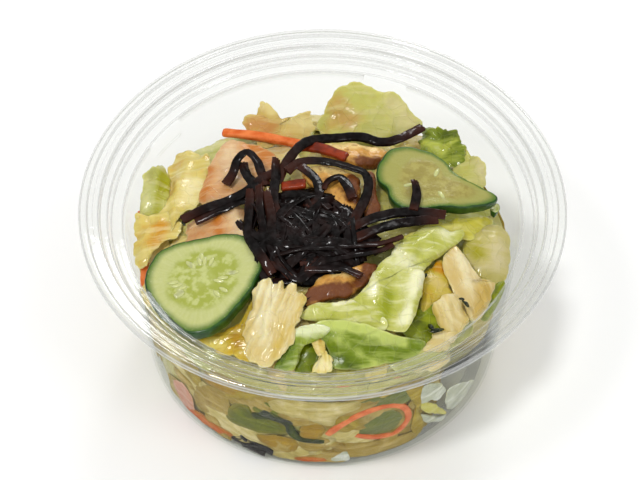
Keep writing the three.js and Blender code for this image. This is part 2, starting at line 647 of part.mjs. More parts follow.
function wallLeaves() {
  const leaves = [];
  WALL_LEAF.rows.forEach((rowHeight, row) => {
    for (let i = 0; i < WALL_LEAF.perRow; i += 1) {
      const seed = 1 + i + row * WALL_LEAF.perRow;
      const azimuth = ((i + 0.5 * row) * 360) / WALL_LEAF.perRow + 6 * Math.sin(3 * seed);
      const long = WALL_LEAF.long * (1 + 0.15 * Math.sin(7 * seed));
      const place = onWall(azimuth, rowHeight + 2 * Math.sin(5 * seed), 28 * Math.sin(2 * seed));
      if (pocket(azimuth) < 0.35 * POCKET.depth) {
        const shape = { thick: WALL_LEAF.thick, bulge: 0, rim: ovalRim({ ...WALL_LEAF, long, seed }) };
        leaves.push(sheetGeometry(shape, { spokes: 8, rings: 1, place }));
      }
    }
  });
  return leaves;
}

// ---- strips ----
function smoothLine(route, steps) {
  const line = [];
  for (let i = 0; i < route.length - 1; i += 1) {
    const four = [-1, 0, 1, 2].map((k) => route[Math.min(Math.max(i + k, 0), route.length - 1)]);
    const last = i === route.length - 2;
    for (let s = 0; s < steps + (last ? 1 : 0); s += 1) {
      line.push(catmullRom(four, s / steps));
    }
  }
  return line.map((point) => new THREE.Vector3(...point));
}

function catmullRom([a, b, c, d], t) {
  return b.map((_, k) => 0.5 * (2 * b[k] + (c[k] - a[k]) * t
    + (2 * a[k] - 5 * b[k] + 4 * c[k] - d[k]) * t * t
    + (3 * b[k] - a[k] - 3 * c[k] + d[k]) * t * t * t));
}

// Sweeps a flat four-sided section along the route; its flat side starts out facing `up`.
function stripGeometry(strip, { grow = 0, steps = 2 } = {}) {
  const line = smoothLine(strip.route, steps);
  const points = [];
  const up = new THREE.Vector3(...(strip.up ?? [0, 0, 1]));
  line.forEach((centre, i) => {
    const ahead = line[Math.min(i + 1, line.length - 1)].clone();
    const tangent = ahead.sub(line[Math.max(i - 1, 0)]).normalize();
    up.addScaledVector(tangent, -up.dot(tangent)).normalize();
    const side = new THREE.Vector3().crossVectors(tangent, up);
    const end = (i === 0 ? -grow : 0) + (i === line.length - 1 ? grow : 0);
    for (const [a, b] of [[-1, -1], [1, -1], [1, 1], [-1, 1]]) {
      points.push(centre.clone()
        .addScaledVector(side, a * (strip.wide / 2 + grow))
        .addScaledVector(up, b * (strip.thick / 2 + grow))
        .addScaledVector(tangent, end).toArray());
    }
  });
  return shell(points, stripTriangles(line.length));
}

function stripTriangles(count) {
  const triangles = [[0, 1, 2], [0, 2, 3]];
  for (let i = 0; i < count - 1; i += 1) {
    for (let k = 0; k < 4; k += 1) {
      const [a, b] = [4 * i + k, 4 * i + ((k + 1) % 4)];
      triangles.push([a, b + 4, b], [a, a + 4, b + 4]);
    }
  }
  const last = 4 * (count - 1);
  triangles.push([last, last + 2, last + 1], [last, last + 3, last + 2]);
  return triangles;
}

function wallStrip(strip) {
  const [azimuth] = strip.wall[0];
  return {
    ...strip,
    route: strip.wall.map(([turn, z]) => wallPoint(turn, z, GAP + 0.35 + strip.thick / 2)),
    up: [Math.sin(radians(azimuth)), -Math.cos(radians(azimuth)), 0],
  };
}

// ---- heaps ----
function heapTop(x, y) {
  const radius = wallRadius(HEAP.edge);
  const dome = HEAP.dome * (1 - (x * x + y * y) / (radius * radius));
  const bumps = 0.9 * Math.sin(x / 4.1 + 1) * Math.sin(y / 4.7);
  return HEAP.edge + dome - (HEAP.forwardLean * y) / radius + bumps;
}

// How far the filling stands back from the wall at the empty pocket.
function pocket(azimuth) {
  const turn = THREE.MathUtils.euclideanModulo(azimuth - POCKET.azimuth + 180, 360) - 180;
  return POCKET.depth * Math.exp(-((turn / POCKET.halfWidth) ** 2));
}

// A solid between a lower and an upper face over the same round footprint.
function moundGeometry({ spokes, rings, upper, lower }) {
  const points = [];
  for (const face of [upper, lower]) {
    points.push(face(0, 0));
    for (let r = 1; r <= rings; r += 1) {
      for (let s = 0; s < spokes; s += 1) {
        points.push(face(r / rings, (2 * Math.PI * s) / spokes));
      }
    }
  }
  return shell(points, discTriangles(spokes, rings));
}

function cabbageCore() {
  const edge = wallRadius(HEAP.edge) - SHEET / 2 - HEAP.sideGap;
  const foot = wallRadius(HEAP.floor) - SHEET / 2 - HEAP.sideGap;
  const spot = (radius, rho, angle) => {
    const reach = rho * (radius - pocket(THREE.MathUtils.radToDeg(angle) + 90));
    return [reach * Math.cos(angle), reach * Math.sin(angle)];
  };
  return moundGeometry({
    spokes: HEAP_SPOKES,
    rings: HEAP_RINGS,
    upper: (rho, angle) => {
      const [x, y] = spot(edge, rho, angle);
      return [x, y, heapTop(x, y)];
    },
    lower: (rho, angle) => [...spot(foot, rho, angle), HEAP.floor],
  });
}

function kelpMass(grow) {
  const { at, radius, floor, spokes, rings } = KELP_MASS;
  const spread = (rho, angle) => {
    const reach = rho * (1 + 0.1 * wobble(4, angle));
    return [
      at[0] + (radius[0] + grow) * reach * Math.cos(angle),
      at[1] + (radius[1] + grow) * reach * Math.sin(angle),
    ];
  };
  return moundGeometry({
    spokes,
    rings,
    upper: (rho, angle) => [...spread(rho, angle), kelpTop(rho) + grow],
    lower: (rho, angle) => [...spread(rho, angle), floor - grow],
  });
}

function kelpTop(rho) {
  return KELP_MASS.floor + KELP_MASS.height * (1 - 0.62 * rho ** 2.4);
}

// Strands that cross the mass in all directions, turned by the golden angle from one to the next.
function kelpLoops() {
  const { count, reach, spread, lift } = KELP_LOOPS;
  return Array.from({ length: count }, (_, i) => {
    const turn = radians(137.5 * i);
    const away = spread * Math.sqrt((i + 0.5) / count);
    const heading = turn + 1.2 + 0.8 * Math.sin(3 * i);
    const route = [-1, -0.4, 0.4, 1].map((t) => {
      const x = away * Math.cos(turn) + reach * t * Math.cos(heading);
      const y = away * Math.sin(turn) + reach * t * Math.sin(heading);
      const rho = Math.min(Math.hypot(x, y) / KELP_MASS.radius[0], 1);
      const z = kelpTop(rho) + lift * (1 - t * t) + 0.3 * (i % 3);
      return [KELP_MASS.at[0] + x, KELP_MASS.at[1] + y, z];
    });
    return { route };
  });
}

// ---- putting the pieces together ----
const parts = new Map();

function addPart(name, make, material) {
  parts.set(name, { solid: make(0).simplify(TOLERANCE.topping), grown: make(GAP), material });
}

function addSheetPart(name, shape, material, detail) {
  addPart(name, (grow) => toSolid(sheetGeometry(shape, { ...detail, grow })), material);
}

function addStripPart(name, strip, material) {
  addPart(name, (grow) => toSolid(stripGeometry(strip, { grow })), material);
}

for (const [name, slice] of Object.entries(slices)) {
  addSheetPart(name, { ...cucumberSlice, ...slice }, cucumberFlesh, { spokes: 30, rings: 2 });
}
addSheetPart('cucumber_end', cucumberEnd, cucumberFlesh, { spokes: 10, rings: 1 });
for (const [name, piece] of Object.entries(tofuPieces)) {
  addSheetPart(name, { ...tofuSkin, ...piece }, tofuBrown, { spokes: 16, rings: 2 });
}
for (const [name, strip] of Object.entries(strips)) {
  addStripPart(name, strip, carrotOrange);
}
for (const [name, strip] of Object.entries(stainedStrips)) {
  addStripPart(name, strip, carrotStained);
}
for (const [name, strip] of Object.entries(wallStrips)) {
  addStripPart(name, wallStrip(strip), strip.material);
}

function kelpTangle(grow) {
  const strips = [...kelpRoutes, ...kelpLoops()];
  const strands = strips.map((strip) => toSolid(stripGeometry({ ...KELP, ...strip }, { grow, steps: 1 })));
  return strands.reduce((sum, strand) => sum.add(strand), toSolid(kelpMass(grow)))
    .simplify(TOLERANCE.topping);
}
addPart('kelp', kelpTangle, kelpBlack);

// The room inside the cup that the filling may take up.
function cupRoom() {
  const side = SHEET / 2 + GAP;
  const lugFoot = WALL_TOP.z - LUG.height;
  const levels = [HEAP.floor, lugFoot - 1.2, lugFoot, WALL_TOP.z];
  const wall = levels.map((z) => [wallRadius(z) - side, z]);
  const top = WALL_TOP.z + ROOM_ABOVE;
  const outline = [[0, HEAP.floor], ...wall, [wallRadius(WALL_TOP.z) - side, top], [0, top]];
  const room = new THREE.LatheGeometry(outline.map(([r, z]) => new THREE.Vector2(r, z)), CUP_SEGMENTS);
  room.rotateX(Math.PI / 2);
  pressLugs(room, 1.1);
  return toSolid(room);
}

function cabbageHeap() {
  const lying = Object.values(cabbageLeaves).map((leaf) => sheetGeometry(leaf, LEAF_DETAIL));
  return [...lying, ...wallLeaves()]
    .reduce((sum, leaf) => sum.add(toSolid(leaf)), toSolid(cabbageCore()));
}

function buildFilling() {
  const room = cupRoom();
  const taken = [];
  for (const part of parts.values()) {
    part.solid = largestPart(cutRoundOthers(part.solid.intersect(room), taken));
    taken.push(part.grown);
  }
  const heap = cabbageHeap().intersect(room).simplify(TOLERANCE.heap);
  const cabbage = largestPart(cutRoundOthers(heap, taken));
  parts.set('cabbage', { solid: cabbage, material: paleLeaf });
}

function cutRoundOthers(solid, others) {
  return others.reduce((rest, other) => rest.subtract(other), solid);
}

function namedMesh(name, geometry, { colour, roughness }) {
  const material = new THREE.MeshStandardMaterial({ color: colour, roughness, metalness: 0 });
  const mesh = new THREE.Mesh(geometry, material);
  mesh.name = name;
  return mesh;
}

buildFilling();
const group = new THREE.Group();
group.add(namedMesh('cup', cupGeometry(), clearPlastic));
for (const [name, part] of parts) {
  group.add(namedMesh(name, toGeometry(part.solid), part.material));
}

export default group;
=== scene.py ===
"""A clear deli cup of pickled cabbage with cucumber, carrot, fried tofu and simmered seaweed.

The scene is in metres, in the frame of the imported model: +Z up, the cup's axis on Z, its foot
on z = 0, and azimuths from -Y (the front) towards +X (the right). The tables of shapes are in
millimetres and degrees, and MM turns a length of theirs into metres.
"""

import math

import bpy
import numpy as np
from bpy.props import FloatProperty, FloatVectorProperty, IntProperty, PointerProperty
from mathutils import Matrix, Vector


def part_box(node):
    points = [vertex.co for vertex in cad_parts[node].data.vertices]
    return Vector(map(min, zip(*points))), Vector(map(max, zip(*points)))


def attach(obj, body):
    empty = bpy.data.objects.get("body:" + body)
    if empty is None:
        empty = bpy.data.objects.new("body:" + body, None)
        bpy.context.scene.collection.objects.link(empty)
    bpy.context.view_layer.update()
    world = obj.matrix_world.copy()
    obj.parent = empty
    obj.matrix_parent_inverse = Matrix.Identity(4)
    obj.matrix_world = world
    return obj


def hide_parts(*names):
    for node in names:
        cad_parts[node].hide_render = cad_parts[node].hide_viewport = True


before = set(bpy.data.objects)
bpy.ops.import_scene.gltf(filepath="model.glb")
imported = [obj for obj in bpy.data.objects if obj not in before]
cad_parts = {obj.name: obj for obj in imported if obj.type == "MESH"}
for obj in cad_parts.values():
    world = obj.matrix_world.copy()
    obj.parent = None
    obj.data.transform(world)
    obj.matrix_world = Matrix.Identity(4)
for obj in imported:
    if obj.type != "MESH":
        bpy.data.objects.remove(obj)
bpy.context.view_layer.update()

bl_info = {
    "name": "Cup of pickled cabbage",
    "version": (1, 0, 0),
    "blender": (4, 5, 0),
    "location": "3D View > Sidebar > Pickled cabbage",
    "description": "Builds a clear deli cup of pickled cabbage and its toppings",
    "category": "Object",
}

MM = 0.001
ROOT = "root"


def linear(hex_colour):
    """An sRGB hex colour as linear red, green and blue."""
    parts = [int(hex_colour[i : i + 2], 16) / 255 for i in (1, 3, 5)]
    return tuple(c / 12.92 if c <= 0.04045 else ((c + 0.055) / 1.055) ** 2.4 for c in parts)


# ---- sizes of the cup, millimetres ----
CUP_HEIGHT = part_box("cup")[1][2] / MM
RIM_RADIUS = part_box("cup")[1][0] / MM
SHEET = 0.6
FOOT_RADIUS = 46.4
FOOT_WIDTH = 4.0
PANEL_RISE = 0.9
WALL_FOOT = (48.0, 1.9)
WALL_TOP = (52.7, 48.3)
LEDGE_EDGE = 56.0
LID_SEAT = {"inner": 57.0, "outer": 58.9, "drop": 3.2}
FLANGE = {"inner": 59.4, "outer": 62.2, "drop": 1.5}
LIP_DROP = 1.5
# Rim creases drawn as fine pale rings of painted glare: radius, width and share of painted grey.
RIM_CREASES = [(WALL_TOP[0] + 0.4, 0.35, 0.4), (LEDGE_EDGE, 0.3, 0.35), (LID_SEAT["inner"], 0.3, 0.45),
               (LID_SEAT["outer"], 0.3, 0.4), (FLANGE["inner"], 0.25, 0.5),
               (60.8, 0.2, 0.25), (FLANGE["outer"], 0.35, 0.5), (RIM_RADIUS - 0.3, 0.4, 0.6)]
# Nesting lugs pressed inwards at the top of the wall, and how soft their edges are: sides in
# degrees, foot in millimetres.
LUG = {"azimuths": (161, 50, -55, -125), "half_angle": 6.5, "depth": 1.1, "height": 5.4}
LUG_SLOPE = {"side": 1.1, "foot": 1.2}
# How far the filling keeps from a lug: below it, beside it in degrees, and in front of it.
LUG_ROOM = {"below": 0.5, "beside": 3, "before": 0.1}
# Points round the cup.
CUP_TURNS = 288

# ---- the heap, millimetres ----
HEAP = {"lowest": 1.7, "floor": 2.0, "side_gap": 1.5, "edge": 34.5, "dome": 13, "forward_lean": 1.5,
        "bumps": 0.9}
POCKET = {"azimuth": 60, "half_width": 17, "depth": 9}
# The gap left between the wall and what lies against it.
TOUCH = 0.35
# Golden angle, in degrees and in radians, which spreads what is laid out by chance.
GOLDEN_ANGLE = 137.5
GOLDEN_TURN = 2.39996

# Wrinkles of soft leaf: how long each kind is, and its share of the height.
WRINKLES = {"swell": (6.5, 0.6), "crease": (4.2, 0.45), "grain": (1.7, 0.13)}
# Waves of a torn rim: length and share.
RIM_WAVES = ((11, 0.9), (5.5, 0.6), (2.9, 0.35), (1.6, 0.2))
# How many points go round a sheet, and how many rings of them lie between its middle and its rim.
FINENESS = {"core": (150, 30), "wall_leaf": (64, 12), "wall_bit": (44, 9), "wall_piece": (80, 16),
            "heap_leaf": (48, 10), "crumb": (24, 5), "slice": (120, 26), "tofu": (72, 22),
            "kelp": (110, 24)}
LEAF_RINGS = 26

# Cabbage colours as (usual, light, deep), and the share of wet coat.
PALETTES = {
    "clear_leaf": ("#bfbd62", "#d4cb90", "#c29e50", 0.2),
    "peach_leaf": ("#c9ae60", "#dcca86", "#c28c48", 0.3),
    "pale_leaf": ("#bcbe58", "#eeecc0", "#9ca41c", 0.45),
    "straw_leaf": ("#d8c46a", "#eee0a4", "#cf931b", 0.5),
    "mixed_leaf": ("#b8b86a", "#d6d294", "#a6a612", 0.35),
    "yellow_leaf": ("#c4a426", "#d8c460", "#ae8200", 0.5),
    "lime_leaf": ("#c8bf3f", "#ded880", "#a09a00", 0.5),
    "amber_leaf": ("#bfaa2f", "#d3be72", "#c08600", 0.45),
    "olive_leaf": ("#b8b05b", "#cfc78a", "#9c9c3d", 0.3),
    "beige_leaf": ("#c0b56c", "#d2c698", "#a29b10", 0.25),
    "green_leaf": ("#6e8400", "#c2ce6c", "#465a00", 0.35),
    "rim_green": ("#98a834", "#dfe4b4", "#56720a", 0.4),
    "frill_green": ("#6f8000", "#b8c04c", "#324200", 0.5),
    # Darkest green: partly the leaf's own colour, partly painted shade for the hollow under the front
    # leaves.
    "deep_leaf": ("#5f6e00", "#8c9a10", "#404e00", 0.3),
    "shade_leaf": ("#7e8a00", "#a2a810", "#586400", 0.3),
    "cream_stem": ("#d8c280", "#eae0b4", "#d0b458", 0.6),
    "rosy_stem": ("#d4bc7c", "#e8dcb0", "#caaa54", 0.6),
    "pink_stem": ("#d6a470", "#e8ca9c", "#c8782a", 0.35),
    "salmon_stem": ("#c88468", "#e0b09a", "#b06040", 0.3),
    "wall_beige": ("#a88e3c", "#ccb474", "#765a14", 0.3),
    "wall_straw": ("#a48c22", "#ccb454", "#78600a", 0.3),
    "wall_pale": ("#c8b66c", "#f2e4b4", "#8e7820", 0.3),
    "wall_ochre": ("#a07a08", "#bc9c2c", "#745200", 0.3),
    "wall_green": ("#5c6400", "#8a8e18", "#303800", 0.3),
    "wall_peel": ("#1e2a04", "#48560c", "#0c1400", 0.3),
    "wall_orange": ("#c45c12", "#d08c40", "#a04208", 0.3),
    "dark_olive": ("#5c6602", "#7c8210", "#3e4402", 0.3),
    "dark_frill": ("#161e04", "#2e3c0c", "#0a1002", 0.3),
    # Near-white pale leaf, also used for painted glare: bright reflections and the white seen through
    # the clear wall.
    "glass_leaf": ("#b6baa0", "#fafcf4", "#868a68", 0.8),
}
WALL_HAZE = "#8e7828"

SHEET_PIECE = {"thick": 1.3, "thin": 0.55, "bulge": 0.6, "ragged": 0.45, "crumple": 0.55,
               "ribs": None, "worn": 0, "grain": 0, "folds": (), "tones": (), "seed": 1, "middle": None,
               "square": 16}

# Each leaf: the points of its rim, then what bends it (folds: from x, y to x, y, width, height)
# and what colours it (tone bands: from x, y to x, y, width, +1 light to -1 deep). Besides the
# leaf's own paler and darker patches, the bands paint highlights along fold crests and rims and
# shade in troughs and hollows.
LEAVES = {
    "leaf_back": dict(
        palette="clear_leaf", seed=2, bulge=1.2, ragged=0.3,
        rim=[(-1.5, 40, 40), (1, 43.5, 43.5), (3, 46.5, 46), (5, 48.5, 47.5), (10, 49, 48),
             (15.5, 47, 47), (20.5, 46, 46.5), (23.5, 43.5, 44.5), (26, 41, 43), (27.5, 38.5, 41),
             (22.5, 34, 40), (13, 32, 40), (3.5, 32.5, 40)],
        folds=[(16, 47, 18, 36, 2.2, 0.7)],
        tones=[(4, 45, 6, 40, 3.5, -0.9), (20, 44, 24, 38, 3.5, 0.9)]),
    "leaf_back_left": dict(
        palette="peach_leaf", seed=4, ragged=0.6,
        rim=[(-21, 40.5, 43), (-18.5, 41.5, 44), (-17, 44.5, 45.5), (-14.5, 42.5, 45),
             (-11, 40.5, 43.5), (-7.5, 40, 43.5), (-4.5, 41.5, 44), (-3, 40.5, 43),
             (-2, 37, 41.5), (-7.5, 32.5, 41), (-16.5, 31.5, 41), (-21, 35, 41.5)],
        folds=[(-10, 41, -12, 33, 1.4, -0.8)],
        tones=[(-19, 38, -16, 36, 3, -1), (-16, 43, -14, 41, 2, 1), (-8, 39, -3, 39, 2.5, 0.8)]),
    "leaf_left_back": dict(
        palette="mixed_leaf", seed=5,
        rim=[(-36.5, 31.5, 37.5), (-34, 33, 38), (-30.5, 35, 38.5), (-27.5, 34.5, 40),
             (-24, 34, 40.5), (-24.5, 29, 41), (-27.5, 22.5, 41.5), (-32, 17.5, 41.5),
             (-35.5, 20.5, 40)],
        tones=[(-33, 32, -27, 33, 2, 0.8)]),
    "stem_left_pink": dict(
        palette="pink_stem", seed=3, thick=2, crumple=0.5, ragged=0.25,
        rim=[(-25.5, 33, 41.5), (-21, 31, 43), (-15, 27, 44.5), (-12, 21.5, 46),
             (-16.5, 11, 46.5), (-22.5, 8.5, 46), (-29, 8, 44.5), (-33, 8.5, 43),
             (-32.5, 15, 43), (-31, 21, 43), (-28.5, 27.5, 42.5)],
        folds=[(-28, 29, -30, 10, 2.4, 1.0), (-20, 28, -22, 12, 2.5, -0.8)],
        tones=[(-30.5, 20, -32, 11, 2.2, -1), (-25, 29, -26, 17, 3, 0.9),
               (-18, 29, -14, 22, 4, -0.9)]),
    "leaf_left_mid": dict(
        palette="straw_leaf", seed=9, crumple=1.1, ragged=0.5,
        rim=[(-42.5, 27, 38), (-40.5, 29.5, 38), (-39, 32, 38), (-34.5, 30.5, 39.5),
             (-31, 27, 41), (-30, 18, 42.5), (-32, 10.5, 43), (-37.5, 6.5, 41.5),
             (-40.5, 0.5, 41), (-44.5, -0.5, 39), (-45.5, 6, 39), (-43, 12, 39),
             (-42.5, 20.5, 38)],
        folds=[(-37, 30, -39, 8, 1.8, 0.9), (-41, 26, -41, 14, 1.3, -0.9)],
        tones=[(-34.5, 17, -35.5, 11, 3, 1), (-39, 29, -40, 16, 2.5, -0.35)]),
    "leaf_left_edge": dict(
        palette="mixed_leaf", seed=7, ragged=0.3,
        rim=[(-48.5, 15.5, 43.5), (-48.5, 17.5, 46), (-46.5, 21, 43.5), (-44.5, 24.5, 41),
             (-42.5, 23.5, 39.5), (-41.5, 14.5, 40), (-43, 9.5, 40), (-46.5, 7.5, 39.5),
             (-49.5, 8.5, 40), (-49, 13, 41)],
        folds=[(-45, 22, -46, 9, 1.5, 0.8)],
        tones=[(-43.3, 20, -44.2, 9.5, 1.9, -1.3), (-48, 16, -48, 10, 1.6, 0.7)]),
    "leaf_left_front": dict(
        palette="straw_leaf", seed=6, crumple=0.9,
        rim=[(-50, 7.5, 40.5), (-47, 9, 38.5), (-42, 9, 39.5), (-38.5, 5.5, 41),
             (-39, -1.5, 41.5), (-44.5, -4, 39.5), (-47, -9, 37.5), (-49, -9, 37),
             (-50.5, -3, 37.5), (-50.5, 3, 39)],
        tones=[(-43, 2, -44, -3, 2.5, -1)]),
    "stem_left_inner": dict(
        palette="pink_stem", seed=8, thick=2,
        rim=[(-36.5, 2.5, 41.5), (-31.5, 2.5, 44), (-26, 3.5, 46), (-20.5, 4.5, 46.5),
             (-17, -1, 46.5), (-15.5, -9, 46.5), (-21, -8.5, 44), (-29, -6, 43),
             (-35.5, -5, 42.5)],
        folds=[(-23, 4, -20, -8, 1.5, 1.0)],
        tones=[(-23, 2, -20, -6, 2, 1), (-28, 2, -27, -4, 2, -1)]),
    "stem_fan": dict(
        palette="cream_stem", seed=11, thick=2.6, ribs=(2.6, 0.8), worn=0.07, grain=68, crumple=0.7,
        ragged=0.5, middle=(-13, -33),
        rim=[(-18.5, -27.5, 47), (-17.5, -24.5, 48), (-16, -22.5, 48.5), (-13.5, -21.5, 49),
             (-12.5, -23.5, 49), (-10.5, -23.5, 49), (-10, -25.5, 49), (-7.5, -24, 49.5),
             (-6, -26, 49.5), (-4.5, -28.5, 49.5), (-5.5, -33, 48), (-7, -38.5, 46.5),
             (-9.5, -42, 44.5), (-13, -45.5, 42), (-16.5, -44.5, 42), (-19.5, -42, 41.5),
             (-20, -36.5, 43), (-19.5, -32, 45)],
        tones=[(-4.5, -29, -12.5, -43, 1.2, -1.2), (-14, -25, -14, -38, 3, 0.8)]),
    "leaf_left_yellow": dict(
        palette="yellow_leaf", seed=12,
        rim=[(-18, -25.5, 44.5), (-20.5, -30.5, 43.5), (-24.5, -33, 42), (-29.5, -35, 40.5),
             (-32.5, -35.5, 40), (-28, -38, 39.5), (-23.5, -40.5, 39.5), (-19, -42.5, 40),
             (-15.5, -42, 41), (-15.5, -34, 43)],
        tones=[(-23, -34, -22, -38, 2, -1), (-30, -36, -26, -38, 2, 0.9)]),
    "leaf_front_green": dict(
        palette="green_leaf", seed=13, thick=1.7, ragged=0.15, crumple=0.45, bulge=-0.8,
        rim=[(-2, -34.7, 46.5), (5, -34, 47), (10, -35.3, 47), (16, -37, 46), (21, -37, 43.5),
             (26.5, -36.5, 41), (25.5, -39, 39.5), (20, -42, 40), (12.5, -44, 40),
             (5.5, -45, 40), (2.5, -44, 40.5), (1.5, -40, 42), (-1, -37.5, 44.5)],
        folds=[(4, -38, 14, -43, 1.6, 0.7), (12, -38, 22, -40, 1.5, -0.5)],
        tones=[(-2, -35, 5, -34.5, 1.0, 1.6), (5, -34.5, 16, -37.3, 1.0, 1.6),
               (16, -37.3, 21, -37.5, 1.0, 1.2), (4, -38, 13, -43, 1.2, 0.55),
               (3, -42, 8, -44, 2, -0.8)]),
    "leaf_front_arm": dict(
        palette="rim_green", seed=26, thick=1.7, ragged=0.15, crumple=0.3, middle=(-6, -38.5),
        rim=[(-7, -36.5, 46), (-2.5, -35, 46.5), (2, -35.5, 46), (1, -37.3, 45),
             (-1.5, -38.5, 44), (-4.5, -40, 43.5), (-6.5, -42.5, 42), (-7.5, -45, 40),
             (-12.5, -44.5, 40), (-10, -41.5, 43), (-8.5, -38.5, 45)],
        tones=[(-7, -36.8, 1, -35.6, 1.3, 1.5), (-9, -41, -11, -44, 3, -1)]),
    # A dark leaf low in the hollow under the front leaves; its dark green is partly its own colour and
    # partly painted shade.
    "leaf_front_hollow": dict(
        palette="deep_leaf", seed=27,
        rim=[(-8, -43.5, 39), (-6.5, -38.5, 41.5), (-3, -35.5, 42.5), (2, -36, 42),
             (4, -40, 40), (3.5, -44, 39), (-2, -44.5, 38.5)]),
    "stem_front_bit": dict(
        palette="straw_leaf", seed=14, thick=1.8, ribs=(1.5, 0.25), grain=100, bulge=0.2,
        rim=[(-3, -38.5, 43.5), (-1.5, -38, 44), (0, -38, 43.5), (1, -41, 42.5), (3, -43, 42),
             (2.5, -45.5, 41), (-0.5, -46.5, 41), (-2.5, -46, 41), (-0.8, -43.5, 42),
             (-1.5, -41.5, 42.5)],
        tones=[(0, -45, 2, -45, 1.5, 1)]),
    "leaf_centre_lobe": dict(
        palette="pale_leaf", seed=16, thick=1.6, ragged=0.3,
        rim=[(-5.5, -33, 46), (-5, -31, 47), (-3, -29.5, 47.5), (3, -29, 48), (8.5, -28, 48),
             (12.5, -30, 47.5), (16.5, -34.5, 47), (15, -36.5, 45.5), (8.5, -34.5, 45.5),
             (0.5, -33.5, 45.5)],
        tones=[(3, -30, 9, -29, 0.8, 1.2)]),
    "leaf_centre_big": dict(
        palette="pale_leaf", seed=15, thick=1.7, ragged=0.3, crumple=0.5, bulge=1.4,
        middle=(21.5, -19),
        rim=[(21, -9, 49), (25.5, -5, 48.5), (30, -3.5, 48), (34, -4.5, 47.5),
             (37, -3.5, 46.5), (37, -6, 46), (33.5, -9.5, 46), (31, -12, 46),
             (28.5, -14.5, 46.5), (26.5, -19.5, 47.5), (25.5, -26.5, 47), (24, -31.5, 46),
             (21, -37, 45), (18, -37, 46), (14, -34.5, 47.5), (10, -32.5, 47.5),
             (7, -29.5, 48), (10, -26.5, 49), (12.5, -22, 49.5), (15, -18, 50),
             (18, -14, 50.5)],
        folds=[(25, -20, 21.5, -36, 1.7, 1.3), (19, -23, 17, -35, 2.2, -1.4),
               (13.5, -22, 15, -28, 1.5, 0.7), (30, -5, 20, -17, 2, 0.7),
               (26, -12, 24, -18, 1.3, -0.6)],
        tones=[(24.6, -21, 21, -34, 1.5, 1.2), (12.5, -22, 13, -27, 1.3, 0.9),
               (19, -14, 22, -19, 3, 0.6), (17.5, -27, 16, -33, 2, -1),
               (25, -9, 24, -12, 2, -0.4), (34, -5, 31, -7, 2, 0.8)]),
    "leaf_upper_right": dict(
        palette="lime_leaf", seed=28,
        rim=[(21, -7.5, 48), (27, -3, 47.5), (32.5, 0, 46.5), (39, 2.5, 44.5), (44.5, 5, 42),
             (45, 2, 41.5), (40.5, -3.5, 43.5), (36, -5.5, 45), (28.5, -7, 45.5),
             (22.5, -9.5, 46.5)],
        folds=[(24, -7, 42, 2, 1.3, 0.8)],
        tones=[(31, 0, 36, 2, 1.5, -1), (24, -7, 36, -2, 1.3, 0.8)]),
    "leaf_right_wall": dict(
        palette="beige_leaf", seed=20, ragged=0.2, crumple=0.35, bulge=1.5,
        rim=[(37.5, -3, 43), (41, -1.5, 43), (44.5, 2.5, 42), (47.5, 2, 41.5),
             (49.7, -0.5, 41), (50, -5, 40.5), (49.5, -9.5, 39.5), (48, -15, 38.5),
             (43.5, -16.5, 39), (40, -13, 41), (37.5, -8.5, 42.5)],
        tones=[(39.5, -4, 41, -8, 2.5, -1), (46.5, -4, 46, -10, 3, 0.9)]),
    "stem_right_long": dict(
        palette="rosy_stem", seed=18, thick=2.2, ribs=(4.5, 0.35), grain=112, crumple=0.5,
        ragged=0.2, middle=(38.5, -19),
        rim=[(34, -8, 46), (36, -9, 45.5), (38, -12.5, 44.5), (40.5, -16, 43.5),
             (42.5, -18, 42.5), (45, -17.5, 41.5), (44.5, -21, 40.5), (42.5, -26, 40),
             (39, -29, 40), (37, -25.5, 42), (34.5, -22.5, 43.5), (32.5, -19, 45),
             (31.5, -14.5, 46)],
        tones=[(43, -20, 41, -27, 2.3, -1.1), (36, -13, 38.5, -20, 2, 0.8)]),
    "stem_right_short": dict(
        palette="cream_stem", seed=19, thick=2.2, ribs=(2.9, 0.45), grain=110, crumple=0.5,
        ragged=0.2,
        rim=[(28.5, -27, 44.5), (30, -25.5, 45), (32, -24, 45), (34.5, -23.5, 44),
             (36.5, -26, 42), (38, -29.5, 41), (35.5, -33, 40.5), (32.5, -34.5, 40),
             (30.5, -32.5, 41.5), (29.5, -30, 43)],
        tones=[(29, -28, 31, -33, 1, -1), (36, -26, 37, -30, 1, -0.9)]),
    "leaf_right_fold": dict(
        palette="amber_leaf", seed=17,
        rim=[(25.5, -25.5, 44.5), (26, -20.5, 45.5), (28, -15.5, 45.5), (31, -12.5, 45),
             (32.5, -17, 44.5), (34, -21.5, 43.5), (31.5, -25, 43), (29, -27.5, 42.5),
             (26.5, -29.5, 42)],
        tones=[(29.5, -14.5, 30.5, -16, 1.8, -1.2), (29, -19, 30, -21, 2.2, 0.9),
               (28, -24, 30, -26, 2, -0.3)]),
    "leaf_deep_green": dict(
        palette="shade_leaf", seed=29,
        rim=[(20.5, -36, 42.5), (23, -30.5, 43), (26.5, -25.5, 43.5), (30.5, -25, 42.5),
             (33, -29.5, 40.5), (31.5, -34, 39.5), (26.5, -36.5, 39.5)],
        tones=[(24, -31, 27, -33, 2, -1)]),
    "stem_front_right": dict(
        palette="cream_stem", seed=30, thick=1.8,
        rim=[(26, -38.5, 39.5), (27, -36, 40.5), (29, -34.5, 41), (32, -33.5, 41),
             (35, -33, 40.5), (34.5, -35.5, 39.5), (30.5, -37.8, 39)]),
    "leaf_back_green": dict(
        palette="frill_green", seed=21, crumple=1.1, ragged=0.6,
        rim=[(27, 36.5, 39.5), (28, 40, 38.5), (30, 40, 39), (32.5, 38.5, 41),
             (34.5, 37.2, 42.5), (36.5, 35.3, 42.5), (38, 33.5, 41), (39.7, 30.7, 41),
             (39.5, 27, 38.5), (35.5, 25.5, 39), (31, 28, 39.5), (27, 32, 39.5)],
